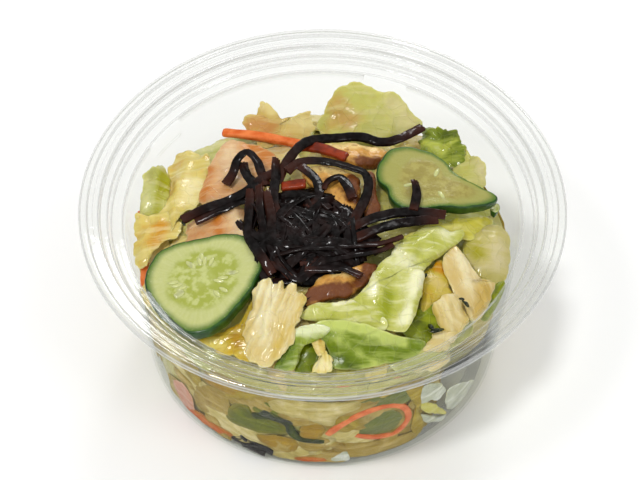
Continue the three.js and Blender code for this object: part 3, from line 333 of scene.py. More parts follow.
        folds=[(29, 32, 37, 33, 1.2, 0.8)],
        tones=[(28, 33, 33, 31, 1.5, 1.2), (33, 31, 37, 33, 0.6, 1.4), (34, 36, 37, 34, 2, -0.5)]),
    "leaf_back_right": dict(
        palette="clear_leaf", seed=22, ragged=0.3,
        rim=[(37.5, 33.2, 38), (39.5, 31.2, 40), (41, 29.2, 40), (43, 26.7, 42),
             (44.2, 24, 41.5), (44.8, 21.5, 40), (44, 18, 38.5), (39.5, 17.5, 39),
             (36, 21, 39), (36.5, 28, 38.5)],
        tones=[(43, 26, 44, 21, 1.5, 0.8)]),
    "leaf_under_tofu": dict(
        palette="straw_leaf", seed=31, crumple=0.8,
        rim=[(-9, 9, 47), (-8, 18, 46), (-3, 26, 45), (6, 29, 44.5), (15, 26.5, 44.5),
             (19, 17, 45.5), (12, 5, 47), (0, 2, 47.5)]),
    "leaf_under_kelp": dict(
        palette="olive_leaf", seed=25,
        rim=[(8, 16, 46), (20, 18, 46), (30, 8, 45), (28, -4, 46), (16, -10, 47), (6, -4, 46)]),
    "leaf_front_right": dict(
        palette="mixed_leaf", seed=23,
        rim=[(18, -40, 40), (28, -36.5, 40), (37, -30, 39.5), (40, -27, 38.5), (37, -33, 37),
             (27, -41, 37), (19, -45, 38)]),
    "leaf_right_low": dict(
        palette="shade_leaf", seed=24,
        rim=[(42, -19, 39.5), (46, -16, 39.5), (48, -15, 39), (47.5, -20, 38),
             (44, -26, 37.5), (41, -27, 38.5)]),
}

# Leaves against the wall all round and small bits between them; over a height they are squeezed.
WALL_LEAF = {"rows": (12, 28), "per_row": 9, "long": 30, "wide": 18, "thick": 1.2, "inset": 1.4}
WALL_SETTLE = {"from": 31.5, "share": 0.3}
WALL_BITS = {"count": 64, "heights": (5, 38), "long": 13, "wide": 8, "scale": (0.6, 1.3),
             "thick": 1.0, "inset": 1.15}
# Wall leaves this much within the pocket are left out, as a share of its depth.
POCKET_SHARE = 0.5
# What shows through the front wall: the rim of each piece as azimuth and height.
WALL_PIECE = {"thick": 0.9, "inset": 0.95, "bulge": 0, "crumple": 0.22, "ragged": 0.25}
WALL_PIECES = {
    "wall_pink": dict(
        palette="salmon_stem", inset=0.9,
        rim=[(-58, 8), (-54.5, 13), (-49, 14), (-46.5, 8), (-49, 3), (-54.5, 2.4)]),
    "wall_beige_left": dict(
        palette="wall_beige", rim=[(-43, 21), (-36.5, 26), (-31.5, 27), (-30, 22), (-33, 13),
                                   (-42, 9), (-46, 13)]),
    "wall_yellow": dict(
        palette="wall_ochre", rim=[(-40, 28), (-31, 34), (-23, 34), (-24.5, 28), (-31, 27), (-37, 26)]),
    "wall_green_band": dict(
        palette="wall_green", inset=0.92,
        rim=[(-31.5, 19.5), (-24.2, 25.5), (-21.5, 22), (-14.7, 22), (-9.8, 20), (-10.5, 15.8),
             (-16.8, 13.3), (-24.5, 12.2), (-30, 12.2), (-33, 14.5)]),
    "wall_dark_frill": dict(
        palette="dark_frill", inset=0.72, thick=0.6,
        rim=[(-22, 21.3), (-19.5, 23.6), (-17.7, 25.3), (-15.5, 24.3), (-13, 23.2), (-9.5, 22.4),
             (-9.5, 20.8), (-13.5, 21.6), (-16.5, 22.2), (-19, 22)]),
    "wall_lobe": dict(
        palette="wall_pale", inset=0.9,
        rim=[(-17.5, 27), (-14, 33), (-6.6, 35.5), (2.1, 35.5), (11, 33.5), (11, 28.5), (5.5, 25.5),
             (2.2, 20.8), (-2.5, 22.8), (-8.4, 24.3), (-13, 24.5)]),
    "wall_olive_top": dict(
        palette="dark_olive", inset=0.98,
        rim=[(11, 33), (17, 34.5), (26.8, 33), (30, 27), (24, 24.5), (17.4, 27), (12, 26)]),
    "wall_olive_loop": dict(
        palette="dark_olive", inset=0.98,
        rim=[(10.5, 16), (14, 23), (20.5, 24), (24.5, 20.5), (25.5, 15.5), (22, 12.5), (15, 13.5)]),
    # These pale sheets in and beside the pocket are partly folded translucent leaf and partly painted
    # glare, standing in for bright reflections and for the white seen through the clear pocket.
    "wall_fold": dict(
        palette="glass_leaf", inset=0.85,
        rim=[(32, 29.5), (38.5, 26), (42, 20), (39.5, 17.2), (36, 19.5), (32.5, 20.5), (30.5, 24.5)]),
    "wall_fold_deep": dict(
        palette="glass_leaf", inset=1.2, thick=0.6,
        rim=[(43, 18), (47, 17.5), (53, 13.5), (59, 8.5), (61.5, 5), (57, 3.8), (52, 3.6), (48, 4.4),
             (45, 8)]),
    "wall_green_bit": dict(
        palette="lime_leaf", rim=[(32.5, 20.5), (37.5, 16.5), (43.8, 8), (44, 6), (37.4, 11.8),
                                  (32.8, 17)]),
    "wall_fold_low": dict(
        palette="glass_leaf", inset=0.85,
        rim=[(32.5, 15), (36.8, 11.3), (42, 6.8), (44.5, 5.8), (43.5, 3.6), (38, 7), (33.6, 11)]),
    "wall_orange_low": dict(
        palette="wall_orange", rim=[(-9, 3.8), (-4, 5), (1.2, 4.8), (1.8, 2.6), (-3, 2.4), (-8, 2.4)]),
    "wall_orange_left": dict(
        palette="wall_orange", rim=[(-56, 4.5), (-47.7, 5.6), (-38.8, 6.4), (-31, 6), (-32.5, 3.2),
                                    (-43.2, 2.4), (-54, 2.4)]),
    # A near-white sheet that is a painted highlight: a glint of light on a fold.
    "wall_glint": dict(
        palette="glass_leaf", inset=0.75, thick=0.6,
        rim=[(2, 5), (5, 6.4), (8, 7), (8.9, 3), (6, 2.5), (3.2, 2.6)]),
    "wall_straw_right": dict(
        palette="wall_straw", rim=[(24.5, 34), (31.5, 31), (32.5, 22), (31.5, 15.5), (35, 8.5),
                                   (33, 4.5), (29.5, 10), (29.5, 22)]),
    "wall_beige_low": dict(
        palette="wall_beige", inset=1.1,
        rim=[(-7.5, 16.5), (0, 15), (9, 12), (20, 9), (31, 7), (32, 3), (20, 2.4), (9.5, 3), (0, 6.5),
             (-7.5, 9)]),
    "wall_ochre_low": dict(
        palette="wall_ochre", rim=[(-21, 11.5), (-15, 13), (-8.5, 13), (-7.5, 9), (-12, 5), (-16, 6.5),
                                   (-21, 8.5)]),
    "wall_ochre_mid": dict(
        palette="wall_ochre", rim=[(-7, 20), (-2.5, 22), (0.5, 20), (0, 15.5), (-3, 13.3), (-6.5, 15)]),
}
# Small dark green crumbs: place, then length, width and heading.
CRUMBS = [((29.6, -34.6, 43.2), 4.2, 1.3, 12), ((28.2, -33.6, 43.0), 3.0, 1.2, 118),
          ((37.2, -26.6, 44.2), 2.6, 0.9, -55), ((36.4, -25.4, 44.6), 1.6, 0.8, -10),
          ((-37.2, 0.3, 44.9), 2.0, 0.9, 100), ((26.6, -20.0, 47.6), 2.4, 1.0, 60)]
HEAP_LEAF = {"count": 60, "reach": 45.5, "long": 17, "wide": 12, "scale": (0.7, 1.2), "thick": 1.1,
             "tilt": 0.15, "sink": (0.4, 1.6)}

# Shares of the way from a slice's middle to its rim: where the peel starts, and where seeds lie.
PEEL_STARTS = 0.955
SEED_BAND = (0.26, 0.54)
SEED_LOBES = 3
SLICE_PIECE = {"thick": 3.2, "thin": 0, "bulge": 0.2, "ragged": 0.12, "crumple": 0.12, "square": 110}
SLICES = {
    "cucumber_left": dict(
        seed=2, seeds=6,
        rim=[(-46.5, -18.5, 42.5), (-46, -14.5, 42.5), (-43.5, -9.5, 43), (-37.5, -6.5, 44),
             (-31.5, -6, 45), (-25.5, -5, 46), (-20.5, -6.5, 46.5), (-16.5, -9.5, 47),
             (-15, -15, 47.5), (-17, -22, 47), (-20.5, -28.5, 46.5), (-25, -34, 45.5),
             (-30.5, -37.5, 44.5), (-36, -36, 43.5), (-41.5, -30.5, 43), (-45.5, -24, 42.5)]),
    "cucumber_right": dict(
        seed=5, bulge=0.5, finish="cucumber_flesh_aged", seeds=1,
        rim=[(14.5, 13.5, 50), (15.5, 16.5, 51), (17.5, 19.5, 51.5), (22, 21, 51.5),
             (27.5, 20, 51), (32.5, 17, 50), (36.5, 12, 49), (42, 10, 47.5), (46.5, 7.5, 46),
             (44, 4.5, 46.5), (37, 2, 48), (29, 1, 49), (22, 0.5, 49.5), (18.5, 3, 49.5),
             (17, 7.5, 49.5), (14.8, 10.5, 49.5)],
        folds=[(38, 12, 32, 1, 3, 0.6)]),
}
SEED_SIZES = {"Length": 3.0 * MM, "Width": 1.2 * MM, "Thickness": 0.6 * MM}
CUCUMBER_END = dict(
    seed=3, thick=1.8, bulge=0.1, ragged=0.05, crumple=0.05,
    rim=[(46.2, 4.6, 43.2), (47.3, 6.8, 42.4), (47, 8.7, 42.2), (45.6, 8.2, 42.6),
         (45, 6, 43)])

TOFU_PIECE = {"thick": 3, "thin": 0.2, "bulge": 0.4, "ragged": 0.35, "crumple": 0.9}
# The tofu's tone bands paint highlights along back edges and shade over front and side parts; on
# tofu_side the dark band is its own brown glaze.
TOFU_PIECES = {
    "tofu_back": dict(
        seed=3, rim=[(-0.5, 23, 49), (4.5, 25, 48.5), (11, 25, 48), (16, 24.5, 47.5),
                     (17, 22, 47.5), (14.5, 18, 48), (10, 17.5, 48.5), (4, 19, 49)],
        tones=[(0, 23, 16, 24.5, 1.6, 1.2), (10, 18, 15, 18.5, 1.6, -1.2)]),
    "tofu_mid": dict(
        seed=5, rim=[(-5.5, 15, 50), (0, 16, 50), (7, 13.5, 50), (10, 9, 50), (9.5, 2, 50),
                     (6, 0, 50), (0, 5, 50), (-4, 10, 50)],
        tones=[(-5, 14.5, 6, 13, 1.6, 1.2), (8, 11, 8.5, 3, 2, -1.2)]),
    "tofu_side": dict(
        seed=6, thick=2, crumple=0.4,
        rim=[(12, 14.5, 49.5), (13.5, 14.5, 49.5), (14, 8, 49), (15, 2, 48.5), (13.5, -2.5, 48.5),
             (11.5, -2.5, 49), (10.5, 2, 49.5), (11, 8, 49.5)],
        tones=[(12.5, 13, 13, 0, 3, -1)]),
    "tofu_front": dict(
        seed=8, rim=[(-5, -26.5, 47.5), (-2.5, -23.5, 48), (-1, -21.5, 48), (4.5, -20.5, 48.5),
                     (9, -18, 49), (13.5, -16.5, 49), (14.5, -17.5, 48.5), (11.5, -23, 48),
                     (7.5, -26.5, 47.5), (0.5, -28, 47), (-4, -29, 47)],
        tones=[(-1, -22.5, 9, -20.5, 1.6, 0.9), (-4, -26.5, 6, -26, 2.2, -1.4),
               (12, -18, 10, -22, 2, -1.1), (1, -24, 8, -23, 3, -0.5)]),
}

# A strip's section is a rounded oblong: the power that squares it, and how full its ends are.
STRIP_SQUARE = 4.5
STRIP_END = 0.82
STRIPS = {
    "carrot_top": dict(route=[(-27.5, 36.5, 41.3), (-16.5, 33.5, 42.8), (-5, 29, 44.4)],
                       wide=2.6, thick=1.7, finish="raw_carrot"),
    "carrot_left_a": dict(route=[(-49, 9.5, 39.2), (-49.2, 5, 37)], wide=2, thick=1.4,
                          finish="raw_carrot"),
    "carrot_left_b": dict(route=[(-47.6, -6, 36.6), (-47.6, -13, 34.2)], wide=2, thick=1.4,
                          finish="raw_carrot"),
    "carrot_stained_a": dict(route=[(-6, 24.3, 49), (-0.5, 22.8, 49.9), (6.5, 18.8, 50.6)],
                             wide=3, thick=1.6, finish="carrot_stained"),
    "carrot_stained_b": dict(route=[(-11, 8.5, 50.4), (-4.5, 8.5, 51.8)], wide=3, thick=1.6,
                             finish="carrot_stained"),
}
WALL_STRIPS = {
    "carrot_wall": dict(wall=[(1.5, 16.5), (7, 22.5), (13.5, 26.2), (20.5, 26.8), (26, 22.5),
                              (27.8, 16), (24, 11.3), (17, 12), (10.5, 15)],
                        wide=2, thick=1.1),
    "cucumber_wall": dict(wall=[(-22, 21), (-16.5, 22.5), (-11, 21), (-9.6, 16.5), (-6.5, 13.7),
                                (0.5, 13)], wide=2.4, thick=1.1),
}
# Strands low on the front wall: (width, route as azimuth and height).
KELP_WALL_ROUTES = [
    (2.6, [(-30.5, 3.6), (-27, 5.6), (-24, 5.2), (-20.5, 5.0), (-17, 3.6)]),
    (2.4, [(-29, 3.0), (-26, 3.2), (-22.5, 4.4), (-19, 3.4), (-16.5, 2.8)]),
    (2.6, [(-27.5, 2.7), (-23.5, 3.0), (-19, 2.7)]),
    (2.4, [(-27, 4.3), (-24, 3.9), (-20.5, 4.2)]),
    (1.6, [(-31.5, 4.4), (-29, 4.8), (-27.5, 6.4), (-26, 5.4)]),
]

# The tangle: its foot, its height, how far out its strands lie, and the height they stay under.
KELP_MASS = {"at": (-3, -6.5), "radius": (16.5, 16), "floor": 44, "height": 8.6}
KELP_SPREAD = 12.5
# The strands that cross it: half their length, how they bow, and how high they lie over the mass.
KELP_LOOP = {"half": 8.5, "half_varies": 2.5, "bow": 2.4, "bow_in": 0.2, "rise": 0.9, "layer": 0.35,
             "sink": 0.6}
KELP_CEILING = 52.7
KELP_THICK = {"top": 1.1, "wall": 0.9}
# What the strands' node tree starts from: lengths in metres, the share of brown and a seed.
STRAND_SIZES = {"Width": 2.7 * MM, "Thickness": 1.0 * MM, "Spacing": 0.7 * MM, "Ridge": 0.16 * MM,
                "Crumple": 0.6 * MM, "Brown": 1.0, "Seed": 3.0}
# A strand's section: its points, the radians of ridges over its width, which makes three of them,
# and how many crumples lie in a metre.
STRAND_SECTION = {"points": 18, "ridges": 19.0, "crumples": 420.0}
STRAND_STEPS = 8
# Long strands: (width, route).
KELP_ROUTES = [
    (2.7, [(-12, 9.5, 51), (-10, 15, 52), (-7, 20.5, 52), (-3.5, 24.6, 51), (3.5, 29, 47.2),
           (10.5, 30.5, 46), (16, 29, 45.5), (21.5, 30.6, 45.5), (27.5, 36, 44)]),
    (3.4, [(-37.5, 1, 45.5), (-31.5, 3.5, 47), (-25.5, 5, 48.5), (-20.5, 7, 50),
           (-16, 10.5, 51.5), (-12.5, 12.5, 52)]),
    (1.8, [(-34, 1, 45), (-27, 3, 47.5), (-21, 4, 49.5), (-17.5, 1.5, 50.5), (-15.5, -4.5, 51)]),
    (1.9, [(-26, 12.4, 47.2), (-24, 16, 48), (-23, 18.5, 50), (-20.5, 20.5, 51),
           (-18, 17.5, 51.5), (-16.5, 13, 51.5), (-15, 8.5, 51)]),
    (3.0, [(-21.5, 18.5, 48.5), (-20.5, 13.5, 50), (-18.5, 9, 51), (-16, 3.5, 51.5)]),
    (2.8, [(-12.5, 16.5, 53), (-12.5, 10, 53), (-13, 3.5, 52.5), (-12, -3, 52)]),
    (2.8, [(-19, 7, 51), (-19.5, -0.5, 50.5), (-19.5, -7.5, 49), (-16, -15.4, 50.2),
           (-13, -20, 48.5)]),
    (2.8, [(-17, 7.5, 52), (-16.5, -1.5, 52), (-15, -9, 51), (-12, -16, 50), (-8, -21.5, 49)]),
    (2.6, [(-15, 5, 52.5), (-13.5, -3.5, 52.5), (-13, -10, 52), (-9, -14.5, 51.5),
           (-4.5, -15.5, 51.5), (1.5, -13.5, 52), (8.5, -13, 51.5), (16, -11.5, 51),
           (21, -9.6, 51.3)]),
    (2.6, [(-9.5, 12, 53), (-5.5, 15.5, 53.5), (1, 15.5, 53.5), (7, 13.5, 53),
           (11.5, 11, 52.5), (12, 5.5, 52), (9.5, -1.5, 52), (6.5, -8, 52)]),
    (2.4, [(-6, 14, 52.5), (-2, 9.5, 53), (-1, 3.5, 53), (-4.5, -0.5, 53)]),
    (2.3, [(0, 5.5, 52.6), (1.5, 8.5, 53.5), (4.5, 10, 53.5), (6.5, 7, 53), (8, 2.4, 52.7)]),
    (3.2, [(7, -7.5, 52), (13, -4, 52), (20, -1.5, 51.5), (27, -1, 51), (32.5, -1.5, 50.5)]),
    (3.0, [(8.5, -10.5, 51.5), (15, -7, 51.5), (21.5, -4.5, 51), (30.5, -2.5, 50)]),
    (3.0, [(-6, -17.5, 50.5), (1, -17, 51), (7.5, -15.5, 51), (14.5, -14, 50.8),
           (18.5, -12.5, 51.4)]),
    (2.2, [(-4.5, -19.5, 50), (1, -20, 50.6), (5.5, -20.5, 51.2), (10, -22.9, 51.2)]),
    (2.4, [(-14, -16.5, 49), (-10, -19, 49.5), (-7, -22, 49), (-4.5, -21.5, 49.5),
           (-2.5, -17.5, 50.5)]),
    (2.3, [(24.5, 8.5, 52.9), (25, 4.3, 52.5), (24, -1, 52)]),
    (1.8, [(-9, -17, 50), (-6, -16.5, 51), (-1.5, -14.5, 52)]),
]

# ---- camera and light ----
FLOOR_REACH = 2.0
SENSOR_WIDTH = 36
CLIP = (0.01, 10)
WORLD = {"low": "#8c8c8a", "high": "#ffffff", "from": -0.1, "to": 0.6, "strength": 0.56}
LAMP_TARGET = (0, 0, 0.03)
CAMERA = {"elevation": 49.08, "look_down": 49.91, "distance": 0.700, "lens": 149.2, "shift": -0.0007}
LAMPS = {
    "key_left": {"at": (-0.36, -0.22, 0.92), "size": 0.18, "watts": 3.7},
    "fill_right": {"at": (0.55, -0.35, 0.60), "size": 0.30, "watts": 1.0},
    "back_strip": {"at": (0.15, 0.65, 0.50), "size": 0.22, "watts": 1.4},
    "low_front": {"at": (-0.12, -0.80, 0.22), "size": 0.40, "watts": 1.0},
}


# ---- settings ----
class CupSettings(bpy.types.PropertyGroup):
    """The clear cup."""

    rim_radius: FloatProperty(
        name="Rim radius", description="Radius over the lip", default=RIM_RADIUS * MM,
        unit="LENGTH", subtype="DISTANCE", precision=4)
    height: FloatProperty(
        name="Height", description="From the foot to the top of the rim", default=CUP_HEIGHT * MM,
        unit="LENGTH", subtype="DISTANCE", precision=4)
    tint: FloatVectorProperty(
        name="Tint", description="Colour of the clear plastic", default=(0.975, 0.98, 0.97),
        subtype="COLOR", size=3, min=0, max=1)


class CabbageSettings(bpy.types.PropertyGroup):
    """The pickled cabbage."""

    spokes: IntProperty(
        name="Outline points", description="Points round a leaf", default=110, min=12, max=200)


class ToppingSettings(bpy.types.PropertyGroup):
    """Cucumber, carrot, tofu and seaweed."""

    flesh: FloatVectorProperty(
        name="Cucumber flesh", description="Cut face of the slices", default=linear("#c0c47c"),
        subtype="COLOR", size=3, min=0, max=1)
    peel: FloatVectorProperty(
        name="Cucumber peel", description="Skin of the slices", default=linear("#163e0c"),
        subtype="COLOR", size=3, min=0, max=1)
    carrot: FloatVectorProperty(
        name="Carrot", description="Raw carrot strips", default=linear("#ee8444"),
        subtype="COLOR", size=3, min=0, max=1)
    tofu: FloatVectorProperty(
        name="Fried tofu", description="Golden skin", default=linear("#d49c48"),
        subtype="COLOR", size=3, min=0, max=1)
    kelp: FloatVectorProperty(
        name="Seaweed", description="Simmered strips", default=linear("#0a0605"),
        subtype="COLOR", size=3, min=0, max=1)
    strand_width: FloatProperty(
        name="Strand width", description="Width of a seaweed strip", default=2.7 * MM,
        unit="LENGTH", subtype="DISTANCE", precision=4)
    strands: IntProperty(
        name="Strands", description="Strands that cross the tangle", default=58, min=0, max=120)


# ---- nodes ----
SMOOTH = {"interpolation_type": "SMOOTHSTEP"}


def add(tree, kind, *values, out=None, **named):
    """Adds a node and gives its first output, the one named by out, or the node if it has none.

    Values fill its inputs in order. A name with a capital is an input's, with _ for a space, and any
    other name is a setting's. A colour is a hex value or linear red, green and blue.
    """
    node = tree.nodes.new(kind)
    for name, value in named.items():
        if name.islower():
            setattr(node, name, value)
    sockets = [socket for socket in node.inputs if socket.enabled]
    by_name = {socket.name: socket for socket in reversed(sockets)}
    filled = list(zip(sockets, values))
    filled += [(by_name[name.replace("_", " ")], value) for name, value in named.items()
               if not name.islower()]
    for socket, value in filled:
        if isinstance(value, bpy.types.NodeSocket):
            tree.links.new(value, socket)
        elif socket.type == "RGBA":
            socket.default_value = (*(linear(value) if isinstance(value, str) else value), 1)
        else:
            socket.default_value = value
    outputs = [socket for socket in node.outputs if socket.enabled]
    names = [socket.name for socket in outputs]
    return outputs[names.index(out) if out else 0] if outputs else node


def weighted(tree, start, *parts):
    """The start plus each value times its weight."""
    for value, weight in parts:
        start = add(tree, "ShaderNodeMath", value, weight, start, operation="MULTIPLY_ADD")
    return start


def tint_where(tree, colour, tint, value, low, high, share=1.0):
    """Lays a tint over a colour: none of it where the value is low, its full share where it is high."""
    amount = add(tree, "ShaderNodeMapRange", value, low, high, 0.0, share, **SMOOTH)
    return add(tree, "ShaderNodeMix", amount, colour, tint, data_type="RGBA")


def finish(name, recipe, *details):
    """The material of that name, made once, with the shader that its recipe gives."""
    material = bpy.data.materials.get(name)
    if material is None:
        material = bpy.data.materials.new(name)
        material.use_nodes = True
        tree = material.node_tree
        tree.nodes.clear()
        add(tree, "ShaderNodeOutputMaterial", recipe(tree, *details))
    return material


# ---- materials ----
def clear_polystyrene(tree, tint):
    """Thermoformed clear sheet: barely tinted, mirror-bright at a slant, with grey glare painted in the
    rim's creases and where it is seen at a slant.
    """
    place = add(tree, "ShaderNodeTexCoord", out="Object")
    flat = add(tree, "ShaderNodeVectorMath", place, (1, 1, 0), operation="MULTIPLY")
    radius = add(tree, "ShaderNodeVectorMath", flat, operation="LENGTH")
    # Pale rings painted at the rim's creases stand in for the light that their bends catch.
    creases = 0.0
    for crease, width, share in RIM_CREASES:
        off = add(tree, "ShaderNodeMath", radius, crease * MM, operation="SUBTRACT")
        away = add(tree, "ShaderNodeMath", off, operation="ABSOLUTE")
        line = add(tree, "ShaderNodeMapRange", away, width * MM, 0.0, 0.0, share, **SMOOTH)
        creases = add(tree, "ShaderNodeMath", line, creases, operation="ADD")
    rim_only = add(tree, "ShaderNodeMapRange", radius, WALL_TOP[0] * MM, LEDGE_EDGE * MM, **SMOOTH)
    calm = weighted(tree, 0.25, (rim_only, 0.75))
    # Painted reflection: grey mixed in where the sheet is seen at a slant, strongest on the rim.
    turned = add(tree, "ShaderNodeLayerWeight", 0.5, out="Facing")
    slanted = add(tree, "ShaderNodeMapRange", turned, 0.7, 1.0, 0.0, 0.35, **SMOOTH)
    misty = add(tree, "ShaderNodeMath", slanted, calm, operation="MULTIPLY")
    milky = add(tree, "ShaderNodeMath", misty, creases, operation="MAXIMUM")
    # The diffuse grey #d2d3d0 carries the painted glare, over a faint haze all over.
    body = add(tree, "ShaderNodeMixShader",
               add(tree, "ShaderNodeMath", milky, 0.012, operation="ADD"),
               add(tree, "ShaderNodeBsdfTransparent", tint),
               add(tree, "ShaderNodeBsdfDiffuse", "#d2d3d0"))
    radius_mm = add(tree, "ShaderNodeMath", radius, MM, operation="DIVIDE")
    streaks = add(tree, "ShaderNodeTexNoise", radius_mm, 0.9, 2, noise_dimensions="1D")
    ripple = add(tree, "ShaderNodeTexNoise", place, 1 / (5 * MM), 2, 0.55)
    bump = add(tree, "ShaderNodeBump", Strength=0.35, Distance=0.5 * MM,
               Height=weighted(tree, 0.0, (streaks, rim_only), (ripple, 0.5)))
    gloss = add(tree, "ShaderNodeBsdfGlossy", (0.95, 0.95, 0.95), 0.04, Normal=bump)
    shine = add(tree, "ShaderNodeFresnel", 1.55, bump)
    hidden = add(tree, "ShaderNodeMath", add(tree, "ShaderNodeLightPath", out="Is Shadow Ray"),
                 add(tree, "ShaderNodeNewGeometry", out="Backfacing"), operation="MAXIMUM")
    shown = add(tree, "ShaderNodeMath", 1.0, hidden, operation="SUBTRACT")
    seen = add(tree, "ShaderNodeMath", shine, shown, operation="MULTIPLY")
    seen = add(tree, "ShaderNodeMath", seen, calm, operation="MULTIPLY")
    return add(tree, "ShaderNodeMixShader", seen, body, gloss)


def salted_cabbage(tree, usual, light, deep, wet, haze=None):
    """Salted cabbage: soft and translucent, mottled, faintly veined, with a wet shine, and highlight
    and shade painted in by its tone marks.

    Leaves against the wall fade at their rims into the haze colour, as wet leaf does on plastic.
    """
    place = add(tree, "ShaderNodeTexCoord", out="Object")
    uv = add(tree, "ShaderNodeTexCoord", out="UV")
    rim = add(tree, "ShaderNodeAttribute", attribute_name="rim", out="Fac")
    marked = add(tree, "ShaderNodeAttribute", attribute_name="tone", out="Fac")
    mottle, mottle_mm = (3.2, 4.5) if haze else (2.8, 7)
    drift = add(tree, "ShaderNodeTexNoise", place, 1 / (mottle_mm * MM), 4, 0.6)
    fine = add(tree, "ShaderNodeTexNoise", place, 1 / (1.3 * MM), 4, 0.55)
    sway = add(tree, "ShaderNodeTexNoise", uv, 0.16, out="Color")
    swayed = add(tree, "ShaderNodeVectorMath", uv, sway, operation="ADD")
    grain = add(tree, "ShaderNodeMapping", swayed, Scale=(0.12, 0.75, 1.0))
    fibre = add(tree, "ShaderNodeTexNoise", grain, 1.0, 3, 0.5)
    web = add(tree, "ShaderNodeTexVoronoi", swayed, 0.22, feature="DISTANCE_TO_EDGE")
    veins = add(tree, "ShaderNodeMapRange", web, 0.045, 0.0, **SMOOTH)
    thin_edge = add(tree, "ShaderNodeMapRange", rim, 0.93, 1.0, **SMOOTH)
    # The tone marks bring painted highlight and shade; the drift adds the leaf's own mottling.
    tone = weighted(tree, marked, (drift, mottle), (0.5, -mottle))
    base = tint_where(tree, usual, light, tone, -0.1, 1.2)
    base = tint_where(tree, base, deep, tone, 0.1, -1.2)
    base = add(tree, "ShaderNodeMix", weighted(tree, 0.0, (veins, 0.05), (thin_edge, 0.22)), base,
               "#e9e8b0", data_type="RGBA")
    base = tint_where(tree, base, light, fibre, 0.48, 0.72, 0.5)
    base = tint_where(tree, base, deep, fibre, 0.45, 0.25, 0.3)
    if haze:
        base = tint_where(tree, base, haze, rim, 0.55, 1.0, 0.45)
    height = weighted(tree, 0.0, (fibre, 0.8), (fine, 0.35), (veins, 0.3))
    return add(tree, "ShaderNodeBsdfPrincipled", base, IOR=1.38,
               Roughness=weighted(tree, 0.26, (fine, 0.25)),
               Specular_IOR_Level=0.08 if haze else 0.3,
               Subsurface_Weight=0.35, Subsurface_Radius=(1.0, 0.85, 0.25),
               Subsurface_Scale=1.8 * MM,
               Coat_Weight=0.0 if haze else wet, Coat_Roughness=0.05, Coat_IOR=1.42,
               Normal=add(tree, "ShaderNodeBump", Strength=0.6, Distance=0.55 * MM, Height=height),
               Coat_Normal=add(tree, "ShaderNodeBump", Strength=0.4, Distance=0.3 * MM,
                               Height=height))


def cut_cucumber(tree, flesh, pale, core_dark, core_light):
    """Cut cucumber: watery pale flesh, greener under the peel, a glassy core in three lobes."""
    place = add(tree, "ShaderNodeTexCoord", out="Object")
    across, along = add(tree, "ShaderNodeSeparateXYZ",
                        add(tree, "ShaderNodeTexCoord", out="UV")).node.outputs[:2]
    angle = add(tree, "ShaderNodeMath", along, across, operation="ARCTAN2")
    rim = add(tree, "ShaderNodeAttribute", attribute_name="rim", out="Fac")
    drift = add(tree, "ShaderNodeTexNoise", place, 1 / (4.5 * MM), 4, 0.55)
    fine = add(tree, "ShaderNodeTexNoise", place, 1 / (0.8 * MM), 4, 0.55)
    fleck = add(tree, "ShaderNodeTexNoise", place, 1 / (0.45 * MM), 2, 0.55)
    cloud = add(tree, "ShaderNodeTexNoise", place, 1 / (2.2 * MM), 3, 0.55)
    lobes = add(tree, "ShaderNodeMath", weighted(tree, 0.0, (angle, 3.0)), operation="SINE")
    reach = weighted(tree, rim, (lobes, 0.05), (drift, 0.16))
    core = add(tree, "ShaderNodeMapRange", reach, 0.78, 0.62, **SMOOTH)
    polar = add(tree, "ShaderNodeCombineXYZ", weighted(tree, 0.0, (angle, 16.0)),
                weighted(tree, 0.0, (rim, 3.0)))
    rays = add(tree, "ShaderNodeTexNoise", polar, 1.0, 3, 0.55)
    outer = tint_where(tree, flesh, pale, rays, 0.3, 0.75, 0.3)
    outer = tint_where(tree, outer, "#4c7018", rim, 0.8, 0.97)
    outer = tint_where(tree, outer, pale, fleck, 0.6, 0.72, 0.35)
    inner = tint_where(tree, core_dark, core_light, cloud, 0.42, 0.62)
    inner = tint_where(tree, inner, core_light, reach, 0.34, 0.22, 0.25)
    base = add(tree, "ShaderNodeMix", core, outer, inner, data_type="RGBA")
    band = add(tree, "ShaderNodeMapRange", reach, 0.56, 0.72, 0.0, 0.3, **SMOOTH)
    ring = add(tree, "ShaderNodeMath", core, band, operation="MULTIPLY")
    base = add(tree, "ShaderNodeMix", ring, base, core_dark, data_type="RGBA")
    return add(tree, "ShaderNodeBsdfPrincipled", base, Roughness=0.3, IOR=1.36,
               Subsurface_Weight=0.3, Subsurface_Radius=(1.0, 1.0, 0.5),
               Subsurface_Scale=1.8 * MM, Coat_Weight=0.4, Coat_Roughness=0.14,
               Normal=add(tree, "ShaderNodeBump", Strength=0.5, Distance=0.35 * MM,
                          Height=weighted(tree, fine, (core, 0.6))))


def cucumber_peel(tree, peel):
    """Cucumber skin: dark, waxy green with paler streaks."""
    place = add(tree, "ShaderNodeTexCoord", out="Object")
    streak = add(tree, "ShaderNodeTexNoise", place, 1 / (2.4 * MM), 3, 0.55)
    return add(tree, "ShaderNodeBsdfPrincipled",
               tint_where(tree, peel, "#2e5a14", streak, 0.4, 0.75),
               Roughness=0.35, Specular_IOR_Level=0.3, Coat_Weight=0.3, Coat_Roughness=0.08,
               Normal=add(tree, "ShaderNodeBump", Strength=0.3, Distance=0.3 * MM, Height=streak))


def cucumber_seed(tree):
    """Cucumber seeds: soft, pale and slippery."""
    return add(tree, "ShaderNodeBsdfPrincipled", "#c8cc84", Roughness=0.2, Subsurface_Weight=0.4,
               Subsurface_Radius=(1.0, 1.0, 0.6), Subsurface_Scale=1.2 * MM, Coat_Weight=0.7,
               Coat_Roughness=0.05)


